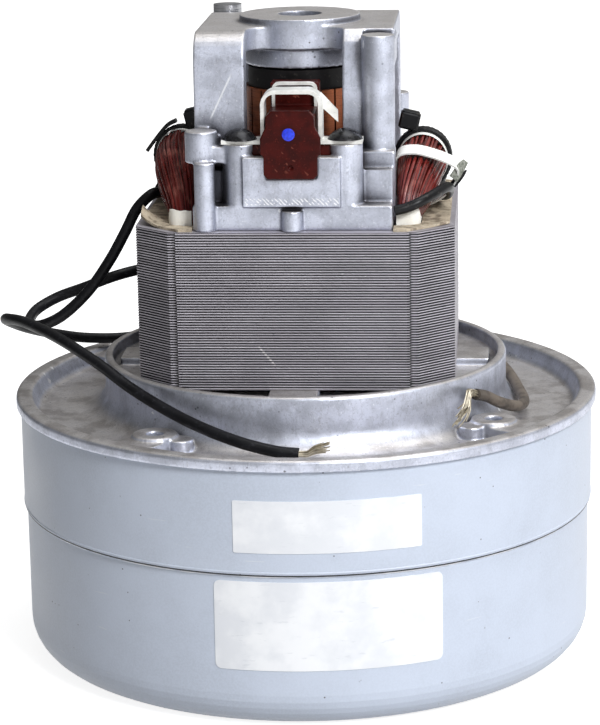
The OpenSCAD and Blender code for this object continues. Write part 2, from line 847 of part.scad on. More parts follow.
module race(r_in, r_out, w, d_in, d_out, z) {
  color(steel) translate([0, 0, z]) rotate_extrude() difference() {
    translate([r_in, 0]) square([r_out - r_in, w]);
    translate([pitch_r(d_in, d_out), w / 2]) circle(ball_r(d_in, d_out) + groove_gap);
  }
}

module outer_race(d_in, d_out, w, z) {
  race(pitch_r(d_in, d_out) + land_share * ball_r(d_in, d_out), d_out / 2, w, d_in, d_out, z);
}

module inner_race(d_in, d_out, w, z) {
  race(d_in / 2, pitch_r(d_in, d_out) - land_share * ball_r(d_in, d_out), w, d_in, d_out, z);
}

module ball_ring(d_in, d_out, w, z, grow = 0) {
  for (i = [0 : ball_count - 1]) rotate(i * 360 / ball_count)
    translate([pitch_r(d_in, d_out), 0, z + w / 2]) sphere(ball_r(d_in, d_out) + grow, $fn = 48);
}

module ball_cage(d_in, d_out, w, z) {
  t = cage_share * ball_r(d_in, d_out);
  p = pitch_r(d_in, d_out);
  h = ball_r(d_in, d_out) + groove_gap + cage_wall;
  color(brass) difference() {
    tube_solid(p + t, p - t, z + w / 2 - h, z + w / 2 + h);
    ball_ring(d_in, d_out, w, z, groove_gap);
  }
}

module lower_bearing_outer() { outer_race(shaft_d, lower_bearing_d, lower_bearing_w, bearing_seat); }
module lower_bearing_inner() {
  inner_race(shaft_d, lower_bearing_d, lower_bearing_w, bearing_seat);
  step_r = pitch_r(shaft_d, lower_bearing_d) - race_step;
  color(steel) tube_solid(step_r, shaft_d / 2, fan2_top + washer_t, bearing_seat);
}
module lower_bearing_balls() {
  color(steel) ball_ring(shaft_d, lower_bearing_d, lower_bearing_w, bearing_seat);
}
module lower_bearing_cage() { ball_cage(shaft_d, lower_bearing_d, lower_bearing_w, bearing_seat); }
module upper_bearing_outer() { outer_race(shaft_end_d, upper_bearing_d, upper_bearing_w, upper_seat); }
module upper_bearing_inner() { inner_race(shaft_end_d, upper_bearing_d, upper_bearing_w, upper_seat); }
module upper_bearing_balls() {
  color(steel) ball_ring(shaft_end_d, upper_bearing_d, upper_bearing_w, upper_seat);
}
module upper_bearing_cage() { ball_cage(shaft_end_d, upper_bearing_d, upper_bearing_w, upper_seat); }

module preload_washer() {
  z = upper_seat + upper_bearing_w;
  color(steel) tube_solid(upper_bearing_d / 2, upper_bearing_d / 2 - preload_w, z, z + preload_t);
}

// Field core and coils

// Outline of a lamination with cut corners, drawn in by edge
module offset_outline(edge) {
  x = core_w / 2 - edge;
  y = core_d / 2 - edge;
  polygon([
    [x, -y + core_cut_y], [x, y - core_cut_y], [x - core_cut_x, y], [core_cut_x - x, y],
    [-x, y - core_cut_y], [-x, core_cut_y - y], [core_cut_x - x, -y], [x - core_cut_x, -y]
  ]);
}

module core_outline() {
  x = core_w / 2;
  y = core_d / 2;
  difference() {
    offset_outline(0);
    for (sx = [-1, 1], sy = [-1, 1])
      translate([sx * (x - core_cut_x), sy * y]) square([core_notch_w, 2 * core_notch_t], center = true);
  }
}

module pole_outline() {
  bore = core_bore / 2;
  translate([bore - lap, -pole_half]) square([window_x + e - bore + lap, 2 * pole_half]);
  intersection() {
    circle(bore + pole_tip);
    polygon([[0, 0], 2 * bore * [1, -tan(pole_tip_angle)], 2 * bore * [1, tan(pole_tip_angle)]]);
  }
}

module field_core() {
  color(lamination) difference() {
    translate([0, 0, core_z]) linear_extrude(core_h) difference() {
      union() {
        difference() {
          core_outline();
          rounded(2 * window_x, 2 * window_y, window_r);
        }
        both() pole_outline();
      }
      circle(d = core_bore);
    }
    joint_cuts();
  }
}

// Room of the open joints, all round the stack
module joint_cuts() {
  for (k = [1 : sheet_joints])
    translate([0, 0, core_z + core_h * k / (sheet_joints + 1) - joint_h / 2]) linear_extrude(joint_h)
      difference() {
        square([core_w + 2 * e, core_d + 2 * e], center = true);
        offset_outline(joint_t);
      }
}

// Middle line of a coil: an arch over the stack, a leg in each slot and an arch under it.
// One loop has loop_steps points, and i may run on past one loop.
function step(i) = i - loop_steps * floor(i / loop_steps);
function arch(i) = i <= arc_steps ? 1 : i >= arc_steps + leg_steps && i <= loop_steps - leg_steps ? -1 : 0;
function arch_angle(i) = arch(i) > 0 ? 180 * i / arc_steps : 180 * (i - arc_steps - leg_steps) / arc_steps;
function coil_mid(i) = let (k = step(i), a = arch_angle(k), s = sin(a))
  arch(k) > 0 ? [coil_leg_x + coil_lean * s, coil_leg_y * cos(a), core_top + coil_top_rise * s] :
  arch(k) < 0 ? [coil_leg_x, -coil_leg_y * cos(a), core_z - coil_low_drop * s] :
  k < loop_steps / 2 ? [coil_leg_x, -coil_leg_y, mix(core_top, core_z, (k - arc_steps) / leg_steps)] :
  [coil_leg_x, coil_leg_y, mix(core_z, core_top, (k - loop_steps + leg_steps) / leg_steps)];
function coil_size(i) = let (k = step(i))
  arch(k) == 0 ? bundle_leg : mix(bundle_leg, arch(k) > 0 ? bundle_top : bundle_low, sin(arch_angle(k)));
function coil_dir(i) = unit(coil_mid(i + 1) - coil_mid(i - 1));
function coil_out(i) = unit(cross(coil_dir(i), [1, 0, 0]));
function coil_side(i) = cross(coil_out(i), coil_dir(i));
// Point on the skin of the bundle, pulled in by inset
function on_bundle(i, turn, inset) = let (s = coil_size(i) - [inset, inset])
  coil_mid(i) + s[0] * sin(turn) * coil_side(i) + s[1] * cos(turn) * coil_out(i);

// Line of the wire: each loop lies beside the last, and both ends lie in the straight of a slot
coil_start = arc_steps + leg_steps / 2;
wire_points = coil_loops * loop_steps;
// Turn that spaces the loops evenly round a section of half sizes s
function flatness(s) = (s[1] - s[0]) / (s[1] + s[0]);
function even_turn(a, s) = let (q = flatness(s))
  a + even_first * q * sin(2 * a) + even_second * q * q * sin(4 * a);
function wire_turn(n) = even_turn(-coil_fan + 2 * coil_fan * n / wire_points, coil_size(coil_start + n));
function wire_at(n) = on_bundle(coil_start + n, wire_turn(n), coil_wire / 2);

// Least gap between neighbouring loops, measured on the points of the wire
loop_gaps = [for (n = [0 : wire_points - loop_steps])
  norm(wire_at(n + loop_steps) - wire_at(n)) - coil_wire];
echo(least_gap_between_coil_loops = min(loop_gaps));

module field_coil() {
  inset = coil_wire + core_gap;
  color(enamel) {
    loop_skin([for (i = [0 : loop_steps - 1])
      [for (k = [0 : coil_sides - 1]) on_bundle(i, 360 * k / coil_sides, inset)]]);
    line = [for (n = [0 : wire_points]) wire_at(n)];
    skin([for (n = [0 : wire_points]) let (t = along(line, n), u = unit(cross([1, 0, 0], t)))
      ring(line[n], u, cross(u, t), coil_wire / 2, wire_sides)]);
  }
}

module field_coil_right() { field_coil(); }
module field_coil_left() { rotate(180) field_coil(); }

// Paper in one slot: a straight sleeve, a cuff that stands up at the end and one that leans outwards
liner_x0 = coil_leg_x - bundle_leg[0];
liner_x1 = window_x - slack;
liner_y1 = window_y - slack;

module slot_paper() {
  intersection() {
    difference() {
      rounded(2 * liner_x1, 2 * liner_y1, window_r - slack);
      rounded(2 * (liner_x1 - liner_t), 2 * (liner_y1 - liner_t), window_r - slack - liner_t);
    }
    translate([liner_x0, liner_in_y]) square([liner_x1, liner_y1]);
  }
}

module end_board() {
  difference() {
    intersection() {
      offset_outline(board_edge);
      translate([leg_x + slack, -core_d]) square([core_w, 2 * core_d]);
    }
    rounded(2 * window_x, 2 * window_y, window_r);
  }
}

module slot_liners() {
  corner = window_r;
  cuff = core_h + liner_drop + liner_rise;
  flare = liner_x1 + liner_flare;
  color(cream) for (a = [0, 180]) rotate(a) {
    for (m = [0, 1]) mirror([0, m]) {
      translate([0, 0, core_z - liner_drop]) linear_extrude(core_h + liner_drop) slot_paper();
      translate([0, 0, core_z - liner_drop]) linear_extrude(cuff) intersection() {
        slot_paper();
        translate([liner_x0, liner_y1 - liner_t - e]) square([liner_x1 - liner_x0 - corner, 2 * e]);
      }
      upright(liner_in_y, liner_y1 - corner) polygon([
        [liner_x1 - liner_t, core_top - e], [liner_x1, core_top - e], [liner_x1, core_top],
        [flare, core_top + cuff_rise], [flare - liner_t, core_top + cuff_rise],
        [liner_x1 - liner_t, core_top]
      ]);
    }
    translate([0, 0, core_top]) linear_extrude(board_t) end_board();
  }
}

// Band round the upper end turn, w wide and t thick, whose sides stand back by skew steps
band_sides = 32;
function band_ring(at, skew, lift) = [for (k = [0 : band_sides - 1])
  let (turn = 360 * k / band_sides) on_bundle(at - skew * pow(sin(turn), 2), turn, -lift)];
module coil_band(at, w, t, lift, skew = 0) {
  half = w / 2 / norm(coil_mid(at + 1 / 2) - coil_mid(at - 1 / 2));
  outer = [for (s = [-1, 1]) band_ring(at + s * half, skew, lift + t)];
  inner = [for (s = [1, -1]) band_ring(at + s * half, skew, lift)];
  loop_skin(concat(outer, inner));
}

tie_at = 5.4;
tie_w = 2.6;
tie_t = 0.9;
tie_head = [5.4, 4.6, 4.6];
tie_head_turn = -20;
module coil_ties() {
  color(black) both() {
    coil_band(tie_at, tie_w, tie_t, slack);
    translate(on_bundle(tie_at, tie_head_turn, -slack - tie_t - tie_head[2] / 2))
      cube(tie_head, center = true);
  }
}

tape_at = 7.8;
tape_w = 4;
tape_t = 0.4;
tape_lift = 0.5;
tape_skew = 1;
module coil_tape() {
  color(white) coil_band(tape_at, tape_w, tape_t, tape_lift, tape_skew);
}

module coil_lead_sleeve() {
  color(black) cord(sleeve_route, sleeve_r);
}

module lead_splice() {
  color(black) translate(route_b[0] + [0, slack, 0]) rotate([-90, 0, 0])
    cylinder(r = splice_r, h = splice_len);
}

// Commutator-end bracket

// Broad leg that bends back over its shoulder into the top plate
module broad_leg() {
  r = shoulder_r;
  t = leg_t;
  top = shoulder_z;
  translate([-leg_x, 0, 0]) rotate([90, 0, 90]) linear_extrude(leg_w) polygon(concat(
    [[-leg_y, core_top], [-leg_y, top - r]],
    arc([r - leg_y, top - r], r, 180, 90),
    [[lap, top], [lap, top - plate_t]],
    arc([r - leg_y + lap, top - plate_t - r + t + lap], r - t - lap, 90, 180),
    [[t - leg_y, core_top]]
  ));
}

// Web and round bolt tower of the other front corner
module bolt_tower() {
  in_x = leg_x - leg_w;
  translate([bolt_x, -bolt_y, core_top]) cylinder(r = tower_r, h = tower_top - core_top);
  translate([bolt_x - tower_r, -bolt_y - tower_r - tower_foot, core_top])
    cube([tower_d, tower_d, block_top - core_top]);
  translate([in_x, 0, 0]) rotate([90, 0, 90]) linear_extrude(web_w) polygon([
    [-web_y, core_top], [-web_y, shoulder_z - web_bend], [web_cut - web_y, shoulder_z - web_cut],
    [2 * web_cut - web_y, shoulder_z], [lap, shoulder_z], [lap, shoulder_z - plate_t],
    [web_t + web_cut - web_y, shoulder_z - plate_t], [web_t - web_y, shoulder_z - plate_t - web_cut],
    [web_t - web_y, core_top]
  ]);
  translate([in_x, 2 * web_cut - web_y, shoulder_z - plate_t])
    cube([leg_w, web_y - 2 * web_cut + lap, plate_t]);
  translate([bolt_x - tower_r, -bolt_y, shoulder_z - plate_t - arm_drop])
    cube([tower_d, bolt_y - arm_end, plate_t + lap]);
}

// Sweep in plan from a leg round into the hub
module hub_fillet() {
  in_x = leg_x - leg_w;
  x = in_x - fillet_r;
  y = -sqrt(pow(hub_r + fillet_r, 2) - pow(x, 2));
  for (m = [0, 1]) mirror([m, 0, 0]) translate([0, 0, shoulder_z - plate_t]) linear_extrude(plate_t)
    polygon(concat(
      arc([x, y], fillet_r, 0, atan2(-y, -x)),
      [[0, 0], [in_x + lap, 0], [in_x + lap, y]]
    ));
}

module bracket_front() {
  broad_leg();
  bolt_tower();
  hub_fillet();
  // Base frame: front wall and side rails
  translate([-leg_x, -frame_y, core_top]) cube([2 * leg_x, frame_y - window_y + lap, frame_h]);
  for (m = [0, 1]) mirror([m, 0, 0])
    translate([leg_x - rail_t, -frame_y, core_top]) cube([rail_t, frame_y + lap, frame_h]);
  translate([0, -frame_y, core_top]) cylinder(r = rib_r, h = frame_h - rib_drop);
  // Brush seat with its screw bosses
  translate([-block_half, -block_y, block_low])
    cube([2 * block_half, block_depth, block_top - block_low]);
  for (s = [-1, 1]) translate([s * screw_x, -boss_y, block_low])
    cylinder(r = boss_r, h = boss_top - block_low);
  translate([-leg_x, lap - boss_y, block_low])
    cube([2 * leg_x, boss_y - block_back, block_top - shelf_drop - block_low]);
  // Lug and its post
  translate([-lug_x, -lug_y, lug_low]) cylinder(r = lug_r, h = lug_h);
  translate([-lug_x, -lug_y - lug_out, lug_low])
    cube([lug_x - screw_x, lug_deep, boss_top - lug_low - lug_step]);
  translate([-lug_x, -lug_y, lug_low]) cube([lug_r, lug_y - leg_y + lap, lug_h - 2 * lap]);
  translate([post_in - lug_x, post_set - frame_y, core_top])
    cylinder(r = post_r, h = lug_low - core_top + e);
}

// Room in the brush seat for the holder and the clamp screws
module seat_cuts() {
  w = holder_half + slack;
  ear_w = ear_half + slack;
  translate([-w, -block_y - e, holder_low - slack])
    cube([2 * w, block_y + e - tube_end, hub_top - holder_low]);
  translate([-ear_w, ear_set - ear_room - block_y, block_top])
    cube([2 * ear_w, block_y - tube_end, ear_h + ear_room]);
  for (s = [-1, 1]) translate([s * screw_x, -boss_y, boss_top - screw_len])
    cylinder(r = screw_r, h = screw_len + e);
}

module commutator_end_bracket() {
  seat_top = upper_seat + upper_bearing_w + preload_t;
  color(cast) difference() {
    union() {
      both() bracket_front();
      translate([0, 0, shoulder_z - plate_t]) cylinder(r = hub_r, h = hub_top - shoulder_z + plate_t);
      translate([0, 0, bearing_boss_z]) cylinder(r = bearing_boss_r, h = bearing_boss_h - lap);
    }
    both() seat_cuts();
    translate([0, 0, bearing_boss_z - e]) cylinder(d = upper_bearing_d, h = seat_top - bearing_boss_z + e);
    translate([0, 0, seat_top - e]) cylinder(d = hub_hole_d, h = hub_top - seat_top + 2 * e);
    translate([bolt_x, -bolt_y, core_top - e])
      cylinder(d = bolt_d, h = tower_top - core_top - tower_solid + e);
    translate([-bolt_x, bolt_y, core_top - e])
      cylinder(d = bolt_d, h = tower_top - core_top + 2 * e);
  }
}

module through_bolts() {
  color(steel) {
    translate([-bolt_x, bolt_y, ledge_z - bolt_past])
      cylinder(d = bolt_d, h = tower_top - ledge_z + bolt_past);
    translate([-bolt_x, bolt_y, tower_top]) cylinder(r = bolt_head_r, h = bolt_head_h);
    translate([bolt_x, -bolt_y, ledge_z]) cylinder(d = bolt_d, h = tower_top - ledge_z - bolt_short);
    translate([bolt_x, -bolt_y, ledge_z - bolt_head_h]) cylinder(r = bolt_head_r, h = bolt_head_h);
  }
}

// Brush gear, drawn at the front

// One side of the face of a holder, from its foot to its top
function face_side(s) = [
  [s * (face_foot_half - face_foot), holder_low], [s * face_foot_half, holder_low + face_foot],
  [s * face_foot_half, face_ledge], [s * face_wide_half, face_ledge + face_step],
  [s * face_wide_half, face_shoulder], [s * face_top_half, face_neck],
  [s * face_top_half, holder_top - face_crown], [s * (face_top_half - face_crown), holder_top]
];

module brush_holder() {
  mid = (tube_end + holder_y - holder_front) / 2;
  len = holder_y - holder_front - tube_end;
  left = face_side(-1);
  color(phenolic) difference() {
    union() {
      upright(-holder_y, holder_flange - holder_y)
        polygon(concat(face_side(1), [for (i = [len(left) - 1 : -1 : 0]) left[i]]));
      translate([-face_top_half, e - holder_y, holder_low])
        cube([2 * face_top_half, holder_y - e - tube_end, holder_top - face_crown - holder_low]);
      translate([-holder_half, e - holder_y, holder_low])
        cube([2 * holder_half, holder_y - e - tube_end, face_shoulder - holder_low]);
      translate([-holder_half, -tube_end - collar_t, holder_low])
        cube([2 * holder_half, collar_t, strap_top - holder_low + collar_rise]);
      translate([-ear_half, ear_set - block_y, block_top])
        cube([2 * ear_half, block_y - ear_set - ear_back, ear_h]);
    }
    translate([0, -mid + e / 2, brush_axis]) cube([tube_w, len + e, tube_h], center = true);
    translate([0, dimple_t - holder_y, dimple_z]) rotate([90, 0, 0])
      cylinder(r = dimple_r, h = dimple_t + e);
  }
}

module brush_tube() {
  mid = (tube_end + holder_y - holder_front) / 2;
  len = holder_y - holder_front - tube_end;
  color(brass) translate([0, -mid, brush_axis]) difference() {
    cube([tube_w, len, tube_h], center = true);
    cube([tube_w - 2 * tube_wall, len + 2 * e, tube_h - 2 * tube_wall], center = true);
  }
}

brush_back = comm_r + brush_len;
module brush() {
  color(carbon) difference() {
    translate([-brush_w / 2, -brush_back, brush_axis - brush_h / 2])
      cube([brush_w, brush_len + brush_tail, brush_h]);
    translate([0, 0, comm_z]) cylinder(r = comm_r + brush_gap, h = comm_len);
  }
}

module brush_spring() {
  len = holder_y - holder_front - brush_back - spring_wire;
  steps = spring_turns * spring_steps;
  line = [for (i = [0 : steps]) let (a = 360 * i / spring_steps)
    [spring_r * cos(a), -brush_back - spring_wire / 2 - len * i / steps, brush_axis + spring_r * sin(a)]];
  color(steel) skin([for (i = [0 : steps]) let (t = along(line, i), u = unit(cross(t, [0, 1, 0])))
    ring(line[i], u, cross(u, t), spring_wire / 2, wire_sides)]);
}

module brush_clamp() {
  t = strap_t;
  h = strap_half;
  z0 = boss_top;
  r = strap_r;
  color(zinc) {
    difference() {
      upright(-strap_front, strap_w - strap_front) polygon(concat(
        [[-strap_foot, z0], [-h, z0]],
        arc([-h + r, strap_top - r], r, 180, 90), arc([h - r, strap_top - r], r, 90, 0),
        [[h, z0], [strap_foot, z0], [strap_foot, z0 + t], [h + t, z0 + t]],
        arc([h - r, strap_top - r], r + t, 0, 90), arc([-h + r, strap_top - r], r + t, 90, 180),
        [[-h - t, z0 + t], [-strap_foot, z0 + t]]
      ));
      for (s = [-1, 1]) translate([s * screw_x, -boss_y, z0 - e]) cylinder(r = screw_r, h = t + 2 * e);
    }
    upright(strap_w - strap_front - t, strap_w - strap_front) polygon([
      [h, strap_top - wing_root], [h + wing_step, strap_top - wing_step],
      [h + wing_reach, strap_top - wing_tip], [h + wing_reach, strap_top - wing_low]
    ]);
  }
}

module brush_holder_front() { brush_holder(); }
module brush_holder_rear() { rotate(180) brush_holder(); }
module brush_tube_front() { brush_tube(); }
module brush_tube_rear() { rotate(180) brush_tube(); }
module brush_front() { brush(); }
module brush_rear() { rotate(180) brush(); }
module brush_spring_front() { brush_spring(); }
module brush_spring_rear() { rotate(180) brush_spring(); }
module brush_clamp_front() { brush_clamp(); }
module brush_clamp_rear() { rotate(180) brush_clamp(); }

module clamp_screws() {
  z = boss_top + strap_t;
  dome = (pow(screw_head_d / 2, 2) + pow(screw_head_h, 2)) / (2 * screw_head_h);
  color(black) both() for (s = [-1, 1]) translate([s * screw_x, -boss_y, z]) {
    translate([0, 0, strap_t - screw_len]) cylinder(r = screw_r, h = screw_len - strap_t + e);
    intersection() {
      translate([0, 0, screw_head_h - dome]) sphere(dome);
      cylinder(d = screw_head_d + e, h = screw_head_h + e);
    }
  }
}

// Leads with their stripped ends

module lead_wire_a() { color(black) cord(route(route_a, rings_a), lead_r); }
module lead_wire_b() { color(black) cord(route(route_b, rings_b), lead_r); }

// Bare strands that splay from the end face of a lead
module strands(p, rings, reach) {
  tip = p[len(p) - 1];
  t = along(route(p, rings), rings - 1);
  u = side_of(t);
  v = cross(u, t);
  middle = route([tip, tip + strand_bow * norm(reach) * t, tip + reach], strand_rings);
  color(copper) for (out = ring([0, 0, 0], u, v, 1, strand_count))
    skin([for (k = [0 : strand_rings - 1]) let (away = strand_ring + strand_splay * k / (strand_rings - 1))
      ring(middle[k] + away * out, u, v, strand_r, wire_sides)]);
}

module lead_a_strands() { strands(route_a, rings_a, strand_reach_a); }
module lead_b_strands() { strands(route_b, rings_b, strand_reach_b); }

// Blank stickers on the drum

module sticker(r, half, z, h, corner) {
  w = 2 * r * sin(half);
  color(white) intersection() {
    tube_solid(r + sticker_t, r, z - h / 2, z + h / 2);
    translate([0, 0, z]) rotate([90, 0, 0]) linear_extrude(r + e) rounded(w, h, corner);
  }
}

module upper_sticker() {
  rotate(upper_sticker_turn)
    sticker(drum_r, upper_sticker_half, upper_sticker_z, upper_sticker_h, upper_sticker_r);
}
module lower_sticker() {
  rotate(lower_sticker_turn)
    sticker(upper_in_r, lower_sticker_half, lower_sticker_z, lower_sticker_h, lower_sticker_r);
}

fan_shell_lower();
fan_shell_upper();
stationary_fan();
interstage_plate();
fan_end_bracket();
shaft();
fan1_shroud();
fan1_vanes();
fan1_backplate();
fan2_shroud();
fan2_vanes();
fan2_backplate();
fan_spacer();
fan_washers();
fan_nut();
armature_core();
armature_winding();
commutator_hub();
commutator_bars();
lower_bearing_outer();
lower_bearing_inner();
lower_bearing_balls();
lower_bearing_cage();
upper_bearing_outer();
upper_bearing_inner();
upper_bearing_balls();
upper_bearing_cage();
preload_washer();
field_core();
field_coil_left();
field_coil_right();
slot_liners();
coil_ties();
coil_tape();
coil_lead_sleeve();
lead_splice();
commutator_end_bracket();
through_bolts();
brush_holder_front();
brush_holder_rear();
brush_tube_front();
brush_tube_rear();
brush_front();
brush_rear();
brush_spring_front();
brush_spring_rear();
brush_clamp_front();
brush_clamp_rear();
clamp_screws();
lead_wire_a();
lead_wire_b();
lead_a_strands();
lead_b_strands();
upper_sticker();
lower_sticker();
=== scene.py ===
"""Finishes, fine forms, leads and stage of the vacuum motor unit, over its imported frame."""

import math
import random

import bmesh
import bpy
from bpy.props import FloatProperty, FloatVectorProperty, IntProperty, PointerProperty
from mathutils import Matrix, Vector


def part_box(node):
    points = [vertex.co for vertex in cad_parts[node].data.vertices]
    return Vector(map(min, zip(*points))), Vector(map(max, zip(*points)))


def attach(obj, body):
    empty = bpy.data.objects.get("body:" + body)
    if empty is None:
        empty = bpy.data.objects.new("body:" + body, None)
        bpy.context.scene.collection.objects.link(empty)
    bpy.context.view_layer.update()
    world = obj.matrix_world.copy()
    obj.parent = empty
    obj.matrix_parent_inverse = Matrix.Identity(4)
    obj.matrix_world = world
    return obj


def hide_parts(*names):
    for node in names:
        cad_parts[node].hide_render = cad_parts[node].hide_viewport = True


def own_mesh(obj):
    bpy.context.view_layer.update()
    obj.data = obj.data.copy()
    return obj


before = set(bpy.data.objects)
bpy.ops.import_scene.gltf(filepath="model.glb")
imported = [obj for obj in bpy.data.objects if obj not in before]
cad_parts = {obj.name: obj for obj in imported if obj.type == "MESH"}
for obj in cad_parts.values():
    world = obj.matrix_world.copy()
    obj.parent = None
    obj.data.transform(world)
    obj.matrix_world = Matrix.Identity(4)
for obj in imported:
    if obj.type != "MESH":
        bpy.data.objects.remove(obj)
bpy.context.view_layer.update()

bl_info = {
    "name": "Vacuum motor unit",
    "version": (1, 0, 0),
    "blender": (4, 5, 0),
    "location": "3D View > Sidebar > Motor",
    "description": "Dresses the packed motor with its finishes, windings, leads and stage",
    "category": "Object",
}

MM = 0.001


def shade(red, green, blue):
    """Linear colour from the usual 0 to 255 levels."""
    levels = (red / 255, green / 255, blue / 255)
    return tuple(v / 12.92 if v < 0.041 else ((v + 0.055) / 1.055) ** 2.4 for v in levels)


def span(node):
    """Lowest and highest corner of a node, in millimetres."""
    low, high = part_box(node)
    return Vector(low) / MM, Vector(high) / MM


# Levels and sides of the stack and the drum, taken from the frame
CORE_LOW, CORE_HIGH = span("field_core")
DRUM_LOW, DRUM_HIGH = span("fan_shell_upper")
SHELL_HIGH = span("fan_shell_lower")[1]


class MotorColours(bpy.types.PropertyGroup):
    """Colours of the finishes."""

    paint: FloatVectorProperty(
        name="Drum paint", description="Satin paint of the drum", subtype="COLOR",
        default=shade(194, 202, 217), min=0, max=1)
    casting: FloatVectorProperty(
        name="Casting", description="Bare die-cast metal", subtype="COLOR",
        default=shade(204, 208, 222), min=0, max=1)
    sheet_edge: FloatVectorProperty(
        name="Sheet edge", description="Edges of the stacked sheets", subtype="COLOR",
        default=shade(188, 184, 192), min=0, max=1)
    enamel: FloatVectorProperty(
        name="Wire enamel", description="Enamel of the field coils", subtype="COLOR",
        default=shade(112, 34, 29), min=0, max=1)
    holder: FloatVectorProperty(
        name="Brush holder", description="Moulding of the brush holders", subtype="COLOR",
        default=shade(60, 13, 10), min=0, max=1)
    mark: FloatVectorProperty(
        name="Holder dot", description="Paint dot on the face of a holder", subtype="COLOR",
        default=shade(38, 60, 215), min=0, max=1)
    copper: FloatVectorProperty(
        name="Commutator", description="Turned copper of the bars", subtype="COLOR",
        default=shade(150, 86, 56), min=0, max=1)
    paper: FloatVectorProperty(
        name="Slot paper", description="Insulating paper of the stack", subtype="COLOR",
        default=shade(184, 170, 148), min=0, max=1)
    tape: FloatVectorProperty(
        name="Tape", description="Woven lacing tape", subtype="COLOR",
        default=shade(242, 242, 238), min=0, max=1)
    rubber: FloatVectorProperty(
        name="Leads", description="Insulation of the leads and ties", subtype="COLOR",
        default=shade(10, 10, 13), min=0, max=1)


class MotorForms(bpy.types.PropertyGroup):
    """Sizes of the fine forms."""

    sheet_pitch: FloatProperty(
        name="Sheet pitch", description="Distance between two sheets of the stack, in mm",
        default=0.642, min=0.4, max=2)
    sheet_gap: FloatProperty(
        name="Sheet gap", description="Open gap between two sheets, in mm", default=0.33, min=0.05, max=0.5)
    wire: FloatProperty(
        name="Coil wire", description="Diameter of the fine coil wire, in mm", default=0.6, min=0.3, max=1)
    wires: IntProperty(
        name="Wires", description="Wires in one layer of a coil", default=46, min=12, max=80)
    cast_grid: FloatProperty(
        name="Casting grid", description="Grid that rounds the edges of a casting, in mm",
        default=0.32, min=0.25, max=1.5)
    cast_rounds: IntProperty(
        name="Casting rounds", description="Smoothing rounds over a casting", default=2, min=0, max=30)
    holder_grid: FloatProperty(
        name="Holder grid", description="Grid that rounds the edges of a brush holder, in mm",
        default=0.22, min=0.15, max=1)
    lead: FloatProperty(
        name="Lead", description="Diameter of a lead, in mm", default=2.8, min=1, max=5)
    strands: IntProperty(
        name="Strands", description="Bare strands at the end of a lead", default=26, min=5, max=60)


class MotorStage(bpy.types.PropertyGroup):
    """Camera, lamps and sky."""

    eye: FloatVectorProperty(
        name="Camera place", description="Place of the camera", subtype="TRANSLATION", unit="LENGTH",
        default=(0.0491, -0.6701, 0.2384))
    yaw: FloatProperty(
        name="Camera yaw", description="Turn of the camera to the right", subtype="ANGLE",
        default=math.radians(-4.31))
    pitch: FloatProperty(
        name="Camera pitch", description="Tilt of the camera downwards", subtype="ANGLE",
        default=math.radians(13.915))
    roll: FloatProperty(
        name="Camera roll", description="Roll of the camera", subtype="ANGLE",
        default=math.radians(-0.9588))
    lens: FloatProperty(
        name="Camera lens", description="Focal length of the camera", subtype="DISTANCE_CAMERA",
        default=135.13, min=10)
    key: FloatProperty(
        name="Key lamp", description="Power of the key lamp, in watts", default=17, min=0)
    top: FloatProperty(
        name="Top lamp", description="Power of the lamp overhead, in watts", default=6.5, min=0)
    sky_low: FloatProperty(
        name="Dim side", description="Strength of the sky on its dim side", default=0.06, min=0, max=2)
    sky_high: FloatProperty(
        name="Bright side", description="Strength of the sky on its bright side", default=0.52, min=0, max=2)


def colours():
    return bpy.context.scene.motor_colours


def forms():
    return bpy.context.scene.motor_forms


def stage():
    return bpy.context.scene.motor_stage


